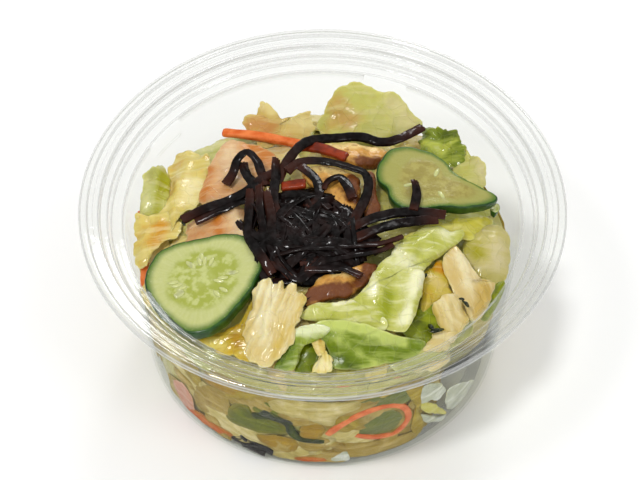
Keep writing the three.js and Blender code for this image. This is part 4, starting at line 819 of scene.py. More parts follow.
def cut_carrot(tree, base, deep):
    """Carrot: fine fibres along the strip, translucent at thin edges, moist."""
    place = add(tree, "ShaderNodeTexCoord", out="Object")
    uv = add(tree, "ShaderNodeTexCoord", out="UV")
    stretched = add(tree, "ShaderNodeMapping", uv, Scale=(0.35, 4.0, 1.0))
    fibre = add(tree, "ShaderNodeTexNoise", stretched, 1.0, 4, 0.55)
    blotch = add(tree, "ShaderNodeTexNoise", place, 1 / (3 * MM), 3, 0.55)
    return add(tree, "ShaderNodeBsdfPrincipled", tint_where(tree, base, deep, blotch, 0.35, 0.7),
               Roughness=0.4, IOR=1.4, Specular_IOR_Level=0.2, Subsurface_Weight=0.12,
               Subsurface_Radius=(1.0, 0.45, 0.15), Subsurface_Scale=1.0 * MM,
               Coat_Weight=0.2, Coat_Roughness=0.08,
               Normal=add(tree, "ShaderNodeBump", Strength=0.35, Distance=0.2 * MM, Height=fibre))


def fried_tofu(tree, base):
    """Deep-fried bean curd: wrinkled golden skin, browned in patches where the sauce has soaked in,
    with highlight and shade painted by its tone marks, and browner in the hollows of its wrinkles.
    """
    place = add(tree, "ShaderNodeTexCoord", out="Object")
    marked = add(tree, "ShaderNodeAttribute", attribute_name="tone", out="Fac")
    wrinkle = add(tree, "ShaderNodeTexNoise", place, 1 / (1.6 * MM), 5, 0.65)
    patch = add(tree, "ShaderNodeTexNoise", place, 1 / (4 * MM), 3, 0.55)
    # Painted highlight and shade from the tone marks, laid over the soaked-in sauce patches: light
    # toward #eaca82, dark toward #6e3a12.
    tone = weighted(tree, marked, (patch, 2.4), (0.5, -2.4))
    colour = tint_where(tree, base, "#eaca82", tone, 0.1, 1.0)
    colour = tint_where(tree, colour, "#6e3a12", tone, -0.1, -0.9)
    colour = tint_where(tree, colour, "#8c541e", wrinkle, 0.5, 0.3, 0.6)
    return add(tree, "ShaderNodeBsdfPrincipled", colour, Roughness=0.42, Specular_IOR_Level=0.25,
               Subsurface_Weight=0.1, Subsurface_Radius=(1.0, 0.6, 0.25),
               Subsurface_Scale=1.0 * MM, Coat_Weight=0.25, Coat_Roughness=0.08,
               Normal=add(tree, "ShaderNodeBump", Strength=0.7, Distance=0.6 * MM, Height=wrinkle))


def simmered_seaweed(tree, base):
    """Seaweed simmered in soy: near black, brown at thin ends, with a thin syrupy shine."""
    place = add(tree, "ShaderNodeTexCoord", out="Object")
    brown = add(tree, "ShaderNodeAttribute", attribute_name="brown", out="Fac")
    crease = add(tree, "ShaderNodeTexNoise", place, 1 / (1.1 * MM), 4, 0.55)
    patch = add(tree, "ShaderNodeTexNoise", place, 1 / (6 * MM), 2, 0.55)
    drops = add(tree, "ShaderNodeTexNoise", place, 1 / (1.4 * MM), 2, 0.5)
    colour = tint_where(tree, base, "#1c1110", patch, 0.42, 0.66, 0.8)
    return add(tree, "ShaderNodeBsdfPrincipled",
               add(tree, "ShaderNodeMix", brown, colour, "#3e1e14", data_type="RGBA"),
               Roughness=0.45, Specular_IOR_Level=0.05, Coat_Roughness=0.05, Coat_IOR=1.45,
               Coat_Weight=add(tree, "ShaderNodeMapRange", drops, 0.4, 0.62, 0.14, 0.5, **SMOOTH),
               Normal=add(tree, "ShaderNodeBump", Strength=0.5, Distance=0.3 * MM, Height=crease),
               Coat_Normal=add(tree, "ShaderNodeBump", Strength=0.3, Distance=0.2 * MM,
                               Height=drops))


def pale_sweep(tree):
    """Plain pale paper, without a shine."""
    return add(tree, "ShaderNodeBsdfPrincipled", "#ffffff", Roughness=0.9)


def cabbage_finish(palette):
    """The cabbage material of that palette."""
    haze = WALL_HAZE if palette.startswith("wall_") else None
    return finish("cabbage_" + palette, salted_cabbage, *PALETTES[palette], haze)


def topping_finish(name):
    """The material of a topping, by name."""
    toppings = bpy.context.scene.topping_settings
    recipes = {
        "cucumber_flesh": (cut_cucumber, toppings.flesh, "#d4d4a2", "#a4ac46", "#c4c980"),
        "cucumber_flesh_aged": (cut_cucumber, "#a3a052", "#aeaa66", "#9c9046", "#aea458"),
        "cucumber_peel": (cucumber_peel, toppings.peel),
        "cucumber_seed": (cucumber_seed,),
        "raw_carrot": (cut_carrot, toppings.carrot, "#d8601c"),
        "carrot_stained": (cut_carrot, "#963410", "#68200a"),
        "fried_tofu_skin": (fried_tofu, toppings.tofu),
        "simmered_seaweed": (simmered_seaweed, toppings.kelp),
    }
    return finish(name, *recipes[name])


# ---- mesh helpers ----
def new_object(name, data):
    """A scene object of that mesh, curve, lamp or camera."""
    made = bpy.data.objects.new(name, data)
    bpy.context.scene.collection.objects.link(made)
    return made


def new_piece(name, points, faces, uv=None, marks=None):
    """A smooth mesh object at the origin, from points in millimetres."""
    mesh = bpy.data.meshes.new(name)
    mesh.from_pydata((np.asarray(points) * MM).tolist(), [], faces)
    mesh.validate()
    mesh.polygons.foreach_set("use_smooth", [True] * len(mesh.polygons))
    if uv is not None:
        layer = mesh.uv_layers.new(name="surface_mm")
        corners = np.zeros(len(mesh.loops), dtype=np.int32)
        mesh.loops.foreach_get("vertex_index", corners)
        layer.data.foreach_set("uv", np.asarray(uv, dtype=np.float32)[corners].ravel())
    for mark, values in (marks or {}).items():
        mesh.attributes.new(mark, "FLOAT", "POINT").data.foreach_set("value", values)
    mesh.update()
    return new_object(name, mesh)


def place_piece(piece, material, slot, *nodes):
    """Gives a finished piece its material, and its place in the model."""
    if material is not None:
        piece.data.materials.append(material)
    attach(piece, ROOT)
    if nodes:
        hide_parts(*nodes)
    return piece


def around_axis(azimuth, radius, z):
    """Points from azimuths in degrees, radii and heights."""
    turn = np.radians(azimuth)
    return np.stack([radius * np.sin(turn), -radius * np.cos(turn), z + 0 * turn], axis=-1)


def wall_radius(z):
    """Radius of the middle of the cup's wall, in millimetres."""
    share = (z - WALL_FOOT[1]) / (WALL_TOP[1] - WALL_FOOT[1])
    return WALL_FOOT[0] + share * (WALL_TOP[0] - WALL_FOOT[0])


def turn_from(start, azimuth):
    """Degrees from one azimuth to another, from -180 to 180."""
    return (azimuth - start + 180) % 360 - 180


def keep_in_cup(points):
    """Presses points that would leave the cup back against its wall and floor."""
    points = np.array(points, dtype=float)
    room = wall_radius(np.minimum(points[:, 2], WALL_TOP[1])) - SHEET / 2 - TOUCH
    azimuth = np.degrees(np.arctan2(points[:, 0], -points[:, 1]))
    near_top = points[:, 2] > WALL_TOP[1] - LUG["height"] - LUG_ROOM["below"]
    for lug in LUG["azimuths"]:
        near_lug = np.abs(turn_from(lug, azimuth)) < LUG["half_angle"] + LUG_ROOM["beside"]
        room = room - np.where(near_lug & near_top, LUG["depth"] + LUG_ROOM["before"], 0)
    radius = np.hypot(points[:, 0], points[:, 1])
    points[:, :2] *= np.minimum(1, room / np.maximum(radius, 1e-6))[:, None]
    points[:, 2] = np.maximum(points[:, 2], HEAP["lowest"])
    return points


# ---- sheets: leaves, stems, slices and tofu ----
def cell_noise(u, v, seed):
    """Soft noise from -1 to 1 that changes over one unit."""
    column, row = np.floor(u), np.floor(v)
    across, along = u - column, v - row
    across, along = across**2 * (3 - 2 * across), along**2 * (3 - 2 * along)

    def corner(i, j):
        return np.sin((column + i) * 12.9898 + (row + j) * 78.233 + seed * 37.7) * 43758.5 % 2 - 1

    low = corner(0, 0) * (1 - across) + corner(1, 0) * across
    high = corner(0, 1) * (1 - across) + corner(1, 1) * across
    return low * (1 - along) + high * along


def crumple(u, v, seed):
    """Wrinkles of soft leaf: slow swells, creases between them, and a fine grain."""
    (swell_mm, swell), (crease_mm, crease), (grain_mm, grain) = WRINKLES.values()
    creases = 1 - 2 * np.abs(cell_noise(u / crease_mm + 9, v / crease_mm, seed + 5))
    return (swell * cell_noise(u / swell_mm, v / swell_mm, seed) + crease * creases
            + grain * cell_noise(u / grain_mm, v / grain_mm + 4, seed + 9))


def along_segments(points, segments):
    """Sum of soft bands along segments given as x, y to x, y, width and height."""
    total = np.zeros(points.shape[:-1])
    for x0, y0, x1, y1, width, height in segments:
        start, leg = np.array([x0, y0]), np.array([x1 - x0, y1 - y0])
        share = np.clip((points[..., :2] - start) @ leg / max(leg @ leg, 1e-9), 0, 1)
        off = points[..., :2] - start - share[..., None] * leg
        total += height * np.exp(-np.sum(off * off, axis=-1) / width**2)
    return total


def between(before, start, end, after, share):
    """A point of the smooth curve through four points, on its middle leg."""
    bend = 2 * before - 5 * start + 4 * end - after
    return 0.5 * (2 * start + (end - before) * share + bend * share**2
                  + (3 * start - before - 3 * end + after) * share**3)


def closed_rim(rim, count):
    """Even points on a smooth closed curve through the rim, anticlockwise, and its length."""
    rim = np.array(rim, dtype=float)
    x, y = rim[:, 0], rim[:, 1]
    if np.sum(x * np.roll(y, -1) - y * np.roll(x, -1)) < 0:
        rim = rim[::-1]
    t = np.linspace(0, len(rim), 16 * len(rim) + 1)
    first = t.astype(int)
    knots = (rim[(first + k) % len(rim)] for k in (-1, 0, 1, 2))
    curve = between(*knots, (t - first)[:, None])
    length = np.concatenate([[0], np.cumsum(np.linalg.norm(np.diff(curve, axis=0), axis=1))])
    even = np.linspace(0, length[-1], count, endpoint=False)
    return np.stack([np.interp(even, length, curve[:, k]) for k in range(3)], 1), length[-1]


def disc_faces(spokes, rings):
    """Faces of a closed disc whose upper and lower face share the rim's points."""
    lower = 1 + spokes * rings

    def index(base, ring, spoke):
        if ring == rings:
            base = 0
        return base if ring == 0 else base + 1 + (ring - 1) * spokes + spoke % spokes

    faces = []
    for base, order in ((0, 1), (lower, -1)):
        for s in range(spokes):
            faces.append((index(base, 0, s), index(base, 1, s), index(base, 1, s + 1))[::order])
            for r in range(1, rings):
                faces.append((index(base, r, s), index(base, r + 1, s),
                              index(base, r + 1, s + 1), index(base, r, s + 1))[::order])
    return faces


def rings_of(count, power=1.7):
    """Shares of the way to the rim, closer together near it."""
    return 1 - (1 - np.linspace(0, 1, count + 1)[1:]) ** power


def stem_ribs(sheet, u, v, across):
    """Ridges along a stem, worn down to one side: their height, and how they colour it, with painted
    shade in the valleys and painted light on the crests.
    """
    pitch, depth = sheet["ribs"]
    sway = v / pitch + 0.8 * cell_noise(u / 6, v / 4.5, sheet["seed"] + 2)
    ridge = np.sin(np.pi * sway) ** 2
    fade = 0.7 + 0.5 * cell_noise(u / 4.5, v / 2.5, sheet["seed"] + 3)
    fade *= np.clip(1 + sheet["worn"] * across, 0.2, 1)
    return depth * fade * (ridge - 0.5), fade * (0.2 - 0.6 * (1 - ridge) ** 2)


def face_normals(grid):
    """Unit normals of a grid of points in rings, the middle first."""
    sideways = np.roll(grid, -1, axis=1) - np.roll(grid, 1, axis=1)
    normals = np.cross(np.gradient(grid, axis=0), sideways)
    normals[0] = normals[1].mean(axis=0)
    return normals / np.maximum(np.linalg.norm(normals, axis=-1, keepdims=True), 1e-9)


def sheet_mesh(shape, spokes, rings, place=None):
    """A thin solid over a rim: its points, faces, surface coordinates and marks."""
    sheet = {**SHEET_PIECE, **shape}
    seed = sheet["seed"]
    rim, around = closed_rim(sheet["rim"], spokes)
    middle = rim[:, :2].mean(axis=0) if sheet["middle"] is None else np.array(sheet["middle"])
    arm = rim[:, :2] - middle
    plane = np.linalg.lstsq(np.column_stack([arm, np.ones(spokes)]), rim[:, 2], rcond=None)[0]
    lift = rim[:, 2] - arm @ plane[:2] - plane[2]
    normal = np.array([-plane[0], -plane[1], 1])
    normal /= np.linalg.norm(normal)
    turn = 2 * np.pi * np.arange(spokes) / spokes
    jag = sum(share * np.sin(round(around / wave) * turn + seed * (1 + wave))
              for wave, share in RIM_WAVES)
    arm = arm * (1 + sheet["ragged"] * jag / np.linalg.norm(arm, axis=1))[:, None]
    rho = np.concatenate([[0], rings_of(rings)])[:, None] * np.ones(spokes)
    flat = rho[..., None] * arm
    grain = math.radians(sheet["grain"])
    u = flat[..., 0] * math.cos(grain) + flat[..., 1] * math.sin(grain)
    v = flat[..., 1] * math.cos(grain) - flat[..., 0] * math.sin(grain)
    points = np.empty(rho.shape + (3,))
    points[..., :2] = middle + flat
    points[..., 2] = plane[2] + flat @ plane[:2] + sheet["bulge"] * (1 - rho**2) + lift * rho**2
    plain = points.copy()
    relief = sheet["crumple"] * crumple(u, v, seed) + along_segments(points, sheet["folds"])
    # Tone bands: painted highlight and shade along folds and rims, with the leaf's own patches.
    tone = along_segments(points, sheet["tones"])
    if sheet["ribs"]:
        ribs, shade = stem_ribs(sheet, u, v, flat[..., 1])
        relief, tone = relief + ribs, tone + shade
    points += relief[..., None] * normal
    if place:
        points, plain = place(points), place(plain)
    half = sheet["thick"] / 2 * np.sqrt(1 - rho ** sheet["square"]) * (1 - sheet["thin"] * rho**3)
    half = face_normals(plain) * half[..., None]

    def both(upper, lower):
        """The values of both faces, each with its centre once, and the rim's once."""
        return np.concatenate([upper[0][:1], *upper[1:], lower[0][:1], *lower[1:-1]])

    marks = {"rim": both(rho, rho), "tone": both(tone, tone)}
    uv = np.stack([both(u, u), both(v, v)], axis=-1)
    return both(points + half, points - half), disc_faces(spokes, rings), uv, marks


def wall_point(azimuth, z, inset):
    """Points that far inside the wall's inner face."""
    return around_axis(azimuth, wall_radius(z) - SHEET / 2 - inset, z)


def on_wall(azimuth, height, tilt, inset, hollow=1.0):
    """Lays flat points against the wall: x along it, y up it, z towards it, and into the pocket."""
    lean = math.radians(tilt)

    def place(points):
        x, y, rise = np.moveaxis(points, -1, 0)
        z = height + y * math.cos(lean) + x * math.sin(lean)
        over = np.maximum(z - WALL_SETTLE["from"], 0)
        z = z - over + over * WALL_SETTLE["share"]
        along = x * math.cos(lean) - y * math.sin(lean)
        turn = azimuth + np.degrees(along / wall_radius(z))
        return wall_point(turn, z, inset - rise + hollow * pocket(turn))

    return place


def oval_rim(long, wide, ragged, seed, square=2.6, points=12):
    """The rim of a small cut leaf: a rounded oblong with an uneven outline."""
    angle = 2 * np.pi * np.arange(points) / points
    reach = (np.abs(np.cos(angle)) ** square + np.abs(np.sin(angle)) ** square) ** (-1 / square)
    uneven = (0.5 * np.sin(2 * angle + seed) + 0.3 * np.sin(3 * angle + 2.1 * seed)
              + 0.2 * np.sin(5 * angle + 3.7 * seed))
    reach = reach * (1 + ragged * uneven)
    return np.stack([reach * np.cos(angle) * long / 2, reach * np.sin(angle) * wide / 2,
                     0 * angle], axis=-1)


def join_meshes(parts):
    """Joins the results of sheet_mesh into one."""
    offsets = np.cumsum([0] + [len(part[0]) for part in parts])
    faces = [tuple(int(i + offset) for i in face)
             for part, offset in zip(parts, offsets) for face in part[1]]
    marks = {name: np.concatenate([part[3][name] for part in parts]) for name in parts[0][3]}
    return (np.concatenate([part[0] for part in parts]), faces,
            np.concatenate([part[2] for part in parts]), marks)


def build_sheets(name, parts, material, slot, *nodes):
    """One piece of the model from several sheets."""
    points, faces, uv, marks = join_meshes(parts)
    piece = new_piece(name, keep_in_cup(points), faces, uv, marks)
    return place_piece(piece, material, slot, *nodes)


# ---- cabbage ----
def heap_top(x, y):
    """Height of the heap over a point of its footprint."""
    radius = wall_radius(HEAP["edge"])
    dome = HEAP["dome"] * (1 - (x * x + y * y) / (radius * radius))
    bumps = HEAP["bumps"] * np.sin(x / 4.1 + 1) * np.sin(y / 4.7)
    return HEAP["edge"] + dome - HEAP["forward_lean"] * y / radius + bumps


def pocket(azimuth):
    """How far the filling stands back from the wall at the empty pocket."""
    turn = turn_from(POCKET["azimuth"], azimuth)
    return POCKET["depth"] * np.exp(-((turn / POCKET["half_width"]) ** 2))


def mound_mesh(upper, lower, spokes, rings):
    """A closed solid between two faces over one round footprint, as sheet_mesh returns it."""
    rho = np.concatenate([[0.0], np.repeat(rings_of(rings), spokes)])
    angle = np.concatenate([[0.0], np.tile(2 * np.pi * np.arange(spokes) / spokes, rings)])
    inner = slice(0, 1 + spokes * (rings - 1))
    points = np.concatenate([upper(rho, angle), lower(rho[inner], angle[inner])])
    blank = np.zeros(len(points))
    marks = {"rim": blank, "tone": blank, "brown": blank}
    return points, disc_faces(spokes, rings), points[:, :2], marks


def cabbage_core():
    """The inside of the heap, a little smaller than what shows."""
    edge = wall_radius(HEAP["edge"]) - SHEET / 2 - HEAP["side_gap"]
    below, rough, side_rough = 1.0, 0.7, 0.5

    def upper(rho, angle):
        reach = rho * (edge - pocket(np.degrees(angle) + 90))
        x, y = reach * np.cos(angle), reach * np.sin(angle)
        return np.stack([x, y, heap_top(x, y) - below + rough * crumple(x, y, 3)], axis=-1)

    def lower(rho, angle):
        """The floor of the heap, and from two thirds of the way out its side."""
        side = np.maximum(rho - 2 / 3, 0) * 3
        height = HEAP["floor"] + side * (HEAP["edge"] - HEAP["floor"] - 2)
        room = wall_radius(height) - SHEET / 2 - HEAP["side_gap"]
        reach = np.minimum(rho * 3 / 2, 1) * (room - pocket(np.degrees(angle) + 90))
        reach -= side_rough * crumple(angle * WALL_FOOT[0], height, 5) * (side > 0)
        return np.stack([reach * np.cos(angle), reach * np.sin(angle), height], axis=-1)

    return mound_mesh(upper, lower, *FINENESS["core"])


def wall_leaves():
    """Leaves pressed against the wall: two rows as in the solid, and small bits between them."""
    palettes = ("wall_straw", "wall_pale", "wall_beige", "wall_pale", "wall_green", "wall_straw",
                "wall_beige", "wall_pale")
    leaf = WALL_LEAF
    for row, row_height in enumerate(leaf["rows"]):
        for i in range(leaf["per_row"]):
            seed = 1 + i + row * leaf["per_row"]
            azimuth = (i + 0.5 * row) * 360 / leaf["per_row"] + 6 * math.sin(3 * seed)
            long = leaf["long"] * (1 + 0.15 * math.sin(7 * seed))
            yield palettes[(3 * seed) % len(palettes)], azimuth, sheet_mesh(
                dict(rim=oval_rim(long, leaf["wide"], 0.2, seed), thick=leaf["thick"], bulge=0,
                     crumple=0.25, seed=seed), *FINENESS["wall_leaf"],
                on_wall(azimuth, row_height + 2 * math.sin(5 * seed), 28 * math.sin(2 * seed),
                        leaf["inset"]))
    rng = np.random.default_rng(11)
    bit = WALL_BITS
    for i in range(bit["count"]):
        azimuth, height = GOLDEN_ANGLE * i % 360, rng.uniform(*bit["heights"])
        rim = oval_rim(bit["long"] * rng.uniform(*bit["scale"]),
                       bit["wide"] * rng.uniform(*bit["scale"]), 0.3, i, rng.uniform(1.8, 4))
        yield palettes[int(rng.integers(len(palettes)))], azimuth, sheet_mesh(
            dict(rim=rim, thick=bit["thick"], bulge=0, crumple=0.3, seed=60 + i),
            *FINENESS["wall_bit"],
            on_wall(azimuth, height, rng.uniform(-60, 60), bit["inset"]))


def wall_piece(shape):
    """One listed piece against the wall, from its rim in azimuth and height."""
    azimuths, heights = np.array(shape["rim"]).T
    azimuth, height = azimuths.mean(), heights.mean()
    along = np.radians(azimuths - azimuth) * wall_radius(height)
    rim = np.stack([along, heights - height, 0 * along], axis=-1)
    piece = {**WALL_PIECE, "seed": len(shape["rim"]) + int(abs(azimuth)), **shape}
    return sheet_mesh({**piece, "rim": rim}, *FINENESS["wall_piece"],
                      on_wall(azimuth, height, 0, piece["inset"], 0.0))


def crumb(place, long, wide, heading):
    """A small torn bit of dark leaf."""
    turn = math.radians(heading)
    rim = oval_rim(long, wide, 0.4, heading, 1.8, 9)
    turned = np.array([[math.cos(turn), math.sin(turn), 0], [-math.sin(turn), math.cos(turn), 0],
                       [0, 0, 1]])
    return sheet_mesh(dict(rim=rim @ turned + place, thick=0.7, bulge=0.2, crumple=0.3,
                           ragged=0.2, seed=heading, square=4), *FINENESS["crumb"])


def heap_leaves():
    """Small cut leaves all over the heap, spread by the golden angle."""
    palettes = ("straw_leaf", "pale_leaf", "olive_leaf", "cream_stem", "mixed_leaf")
    rng = np.random.default_rng(7)
    leaf = HEAP_LEAF
    for i in range(leaf["count"]):
        radius = leaf["reach"] * math.sqrt((i + 0.5) / leaf["count"])
        turn = GOLDEN_TURN * i
        x, y = radius * math.cos(turn), radius * math.sin(turn)
        rim = oval_rim(leaf["long"] * rng.uniform(*leaf["scale"]),
                       leaf["wide"] * rng.uniform(*leaf["scale"]), 0.25, i, rng.uniform(2.2, 4))
        heading = rng.uniform(0, 2 * np.pi)
        tilt = rng.uniform(-leaf["tilt"], leaf["tilt"], 2)
        flat_x = rim[:, 0] * math.cos(heading) - rim[:, 1] * math.sin(heading) + x
        flat_y = rim[:, 0] * math.sin(heading) + rim[:, 1] * math.cos(heading) + y
        height = (heap_top(flat_x, flat_y) - rng.uniform(*leaf["sink"])
                  + tilt[0] * (flat_x - x) + tilt[1] * (flat_y - y))
        shape = dict(rim=np.stack([flat_x, flat_y, height], axis=-1), thick=leaf["thick"],
                     crumple=0.7, ragged=0.5, seed=30 + i)
        palette = palettes[int(rng.integers(len(palettes)))]
        yield palette, sheet_mesh(shape, *FINENESS["heap_leaf"])


def build_cabbage_piece(name, parts, palette):
    build_sheets(name, parts, cabbage_finish(palette), "cabbage_leaf", "cabbage")


def build_cabbage():
    spokes = bpy.context.scene.cabbage_settings.spokes
    build_cabbage_piece("cabbage_core", [cabbage_core()], "olive_leaf")
    for name, shape in LEAVES.items():
        build_cabbage_piece(name, [sheet_mesh(shape, spokes, LEAF_RINGS)], shape["palette"])
    for name, shape in WALL_PIECES.items():
        build_cabbage_piece(name, [wall_piece(shape)], shape["palette"])
    build_cabbage_piece("crumbs", [crumb(*shape) for shape in CRUMBS], "dark_frill")
    on_side, on_top = {}, {}
    for palette, azimuth, part in wall_leaves():
        if pocket(azimuth) < POCKET_SHARE * POCKET["depth"]:
            on_side.setdefault(palette, []).append(part)
    for palette, part in heap_leaves():
        on_top.setdefault(palette, []).append(part)
    for prefix, groups in (("side_", on_side), ("top_", on_top)):
        for palette, parts in groups.items():
            build_cabbage_piece(prefix + palette, parts, palette)


# ---- the cup ----
def cup_line():
    """Middle line of the sheet from the axis to the lip, as (radius, height)."""
    middle = SHEET / 2
    foot_inner = FOOT_RADIUS - FOOT_WIDTH
    seat = CUP_HEIGHT - LID_SEAT["drop"]
    flange = CUP_HEIGHT - FLANGE["drop"]
    top = CUP_HEIGHT - middle
    lip = RIM_RADIUS - middle
    levels = np.linspace(WALL_FOOT[1] + 2, WALL_TOP[1] - 0.6, 40)
    return [
        (0, PANEL_RISE + middle), (foot_inner - 1.8, PANEL_RISE + middle),
        (foot_inner - 0.6, middle), (FOOT_RADIUS - 0.9, middle),
        (WALL_FOOT[0] - 0.15, WALL_FOOT[1] - 0.5),
        *[(wall_radius(z), z) for z in levels],
        (WALL_TOP[0] + 0.25, WALL_TOP[1] + 0.45), (LEDGE_EDGE, WALL_TOP[1] + 0.5),
        (LID_SEAT["inner"], seat), (LID_SEAT["outer"], seat + 0.3),
        (FLANGE["inner"], flange), (FLANGE["outer"], flange + 0.2),
        (FLANGE["outer"] + 0.5, top - 0.2), (FLANGE["outer"] + 0.9, top),
        (lip - 0.6, top), (lip, top - 0.6), (lip, CUP_HEIGHT - LIP_DROP),
    ]


def round_corners(line, cut=0.16, most=0.5):
    """Replaces each corner by a short arc of two points."""
    line = [np.array(p, dtype=float) for p in line]
    rounded = [line[0]]
    for before, point, after in zip(line, line[1:], line[2:]):
        back = before - point
        ahead = after - point
        for leg in (back, ahead):
            length = np.hypot(*leg)
            rounded.append(point + leg / length * min(cut * length, most / 2))
    return rounded + [line[-1]]


def offset_line(line, distance):
    """Moves a line sideways, to its left where distance is positive."""
    line = np.array(line)
    legs = np.diff(line, axis=0)
    normals = np.stack([-legs[:, 1], legs[:, 0]], axis=1)
    normals /= np.linalg.norm(normals, axis=1, keepdims=True)
    first = np.vstack([normals[:1], normals])
    last = np.vstack([normals, normals[-1:]])
    reach = distance / (1 + np.sum(first * last, axis=1, keepdims=True))
    return line + (first + last) * reach


def lug_push(azimuth, radius, z):
    """How far a point of the wall is pressed inwards by the nesting lugs."""
    push = np.zeros_like(azimuth)
    for lug in LUG["azimuths"]:
        past_side = LUG["half_angle"] - np.abs(turn_from(lug, azimuth))
        side = np.clip(past_side / LUG_SLOPE["side"], 0, 1)
        rise = np.clip((z - (WALL_TOP[1] - LUG["height"])) / LUG_SLOPE["foot"], 0, 1)
        push = np.maximum(push, side * rise * (radius < LEDGE_EDGE - 1.2))
    return LUG["depth"] * push


def build_cup():
    settings = bpy.context.scene.cup_settings
    line = round_corners(cup_line())
    inside, outside = offset_line(line, SHEET / 2), offset_line(line, -SHEET / 2)
    end = np.array([outside[-1] + (inside[-1] - outside[-1]) * t for t in (0.75, 0.5, 0.25)])
    end[:, 1] -= (0.1, 0.16, 0.1)
    profile = np.vstack([inside[1:], end, outside[:0:-1]])
    turns, rows = CUP_TURNS, len(profile)
    azimuth = np.repeat(np.arange(turns) * 360 / turns, rows)
    radius, z = np.tile(profile, (turns, 1)).T
    radius = radius - lug_push(azimuth, radius, z)
    points = around_axis(azimuth, radius, z)
    poles = [len(points), len(points) + 1]
    points = np.vstack([points, [0, 0, inside[0][1]], [0, 0, outside[0][1]]])
    faces = []
    for i in range(turns):
        a, b = i * rows, ((i + 1) % turns) * rows
        faces += [(a + k, b + k, b + k + 1, a + k + 1) for k in range(rows - 1)]
        faces.append((poles[0], b, a))
        faces.append((poles[1], a + rows - 1, b + rows - 1))
    stretch = (settings.rim_radius / (RIM_RADIUS * MM), settings.height / (CUP_HEIGHT * MM))
    points = points * np.array([stretch[0], stretch[0], stretch[1]])
    cup = new_piece("cup_shell", points, [face[::-1] for face in faces])
    material = finish("clear_polystyrene", clear_polystyrene, settings.tint)
    place_piece(cup, material, "clear_plastic", "cup")


# ---- strips ----
def smooth_line(route, steps):
    """A curve through the points of a route."""
    route = [np.array(point, dtype=float) for point in route]
    line = []
    for i in range(len(route) - 1):
        knots = [route[min(max(i + k, 0), len(route) - 1)] for k in (-1, 0, 1, 2)]
        line += [between(*knots, share) for share in np.arange(steps) / steps]
    return np.array(line + [route[-1]])


def strip_mesh(strip, steps=14, sides=16, up=(0.0, 0.0, 1.0)):
    """A strip with a rounded flat section swept along its route, as sheet_mesh returns it."""
    line = smooth_line(strip["route"], steps)
    angle = np.linspace(0, 2 * np.pi, sides, endpoint=False) + np.pi / sides
    ring = ((np.abs(np.cos(angle)) ** STRIP_SQUARE + np.abs(np.sin(angle)) ** STRIP_SQUARE)
            ** (-1 / STRIP_SQUARE))
    section = np.stack([ring * np.cos(angle), ring * np.sin(angle)], axis=-1)
    up = np.array(up, dtype=float)
    points, uv, length = [], [], 0.0
    for i, centre in enumerate(line):
        ahead, behind = line[min(i + 1, len(line) - 1)], line[max(i - 1, 0)]
        tangent = (ahead - behind) / np.linalg.norm(ahead - behind)
        up = up - up.dot(tangent) * tangent
        up /= np.linalg.norm(up)
        side = np.cross(tangent, up)
        length += np.linalg.norm(centre - line[max(i - 1, 0)])
        share = i / (len(line) - 1)
        swell = 1 + 0.06 * math.sin(9 * share + len(line)) + 0.04 * math.sin(23 * share)
        end = min(1.0, STRIP_END + 4 * min(share, 1 - share))
        for a, b in section:
            points.append(centre + side * a * strip["wide"] / 2 * swell * end
                          + up * b * strip["thick"] / 2 * end)
            uv.append((length, a * strip["wide"]))
    count = len(line)
    points += [line[0], line[-1]]
    uv += [(0, 0), (length, 0)]
    faces = []
    for k in range(sides):
        n = (k + 1) % sides
        faces.append((count * sides, k, n))
        faces.append((count * sides + 1, (count - 1) * sides + n, (count - 1) * sides + k))
        for i in range(count - 1):
            a, b = i * sides + k, i * sides + n
            faces.append((a, a + sides, b + sides, b))
    blank = np.zeros(len(points))
    return np.array(points), faces, np.array(uv), {"rim": blank, "brown": blank}


def build_strip(name, strip, material, slot, up=(0.0, 0.0, 1.0)):
    piece = new_piece(name + "_strip", *strip_mesh(strip, up=up))
    return place_piece(piece, material, slot, name)


def build_wall_strip(name, material, slot):
    """A strip that shows through the wall."""
    strip = WALL_STRIPS[name]
    inset = TOUCH + strip["thick"] / 2
    azimuth = math.radians(strip["wall"][0][0])
    route = [wall_point(turn, z, inset) for turn, z in strip["wall"]]
    up = (math.sin(azimuth), -math.cos(azimuth), 0.0)
    build_strip(name, {**strip, "route": route}, material, slot, up)


def build_carrots():
    for name, strip in STRIPS.items():
        slot = "carrot" if strip["finish"] == "raw_carrot" else "carrot_simmered"
        build_strip(name, strip, topping_finish(strip["finish"]), slot)
    build_wall_strip("carrot_wall", topping_finish("raw_carrot"), "carrot")


# ---- cucumber ----
def size_tree(name, sizes):
    """A geometry node tree with a named input for each size, and what its inputs give."""
    tree = bpy.data.node_groups.new(name, "GeometryNodeTree")
    for in_out in ("INPUT", "OUTPUT"):
        tree.interface.new_socket("Geometry", in_out=in_out, socket_type="NodeSocketGeometry")
    for label, size in sizes.items():
        socket = tree.interface.new_socket(label, in_out="INPUT", socket_type="NodeSocketFloat")
        socket.default_value = size
    return tree, add(tree, "NodeGroupInput").node.outputs


def end_tree(tree, geometry, material):
    """Makes real, smooth, finished faces of the geometry, and passes them on."""
    real = add(tree, "GeometryNodeRealizeInstances", geometry)
    smooth = add(tree, "GeometryNodeSetShadeSmooth", real)
    add(tree, "NodeGroupOutput", add(tree, "GeometryNodeSetMaterial", smooth, Material=material))


def evaluate(source, tree, name, sizes):
    """Turns what a node tree makes of an object into a plain mesh object."""
    modifier = source.modifiers.new("nodes", "NODES")
    modifier.node_group = tree
    for socket in tree.interface.items_tree:
        if socket.name in sizes:
            modifier[socket.identifier] = float(sizes[socket.name])
    graph = bpy.context.evaluated_depsgraph_get()
    mesh = bpy.data.meshes.new_from_object(source.evaluated_get(graph), depsgraph=graph)
    bpy.data.objects.remove(source)
    return new_object(name, mesh)


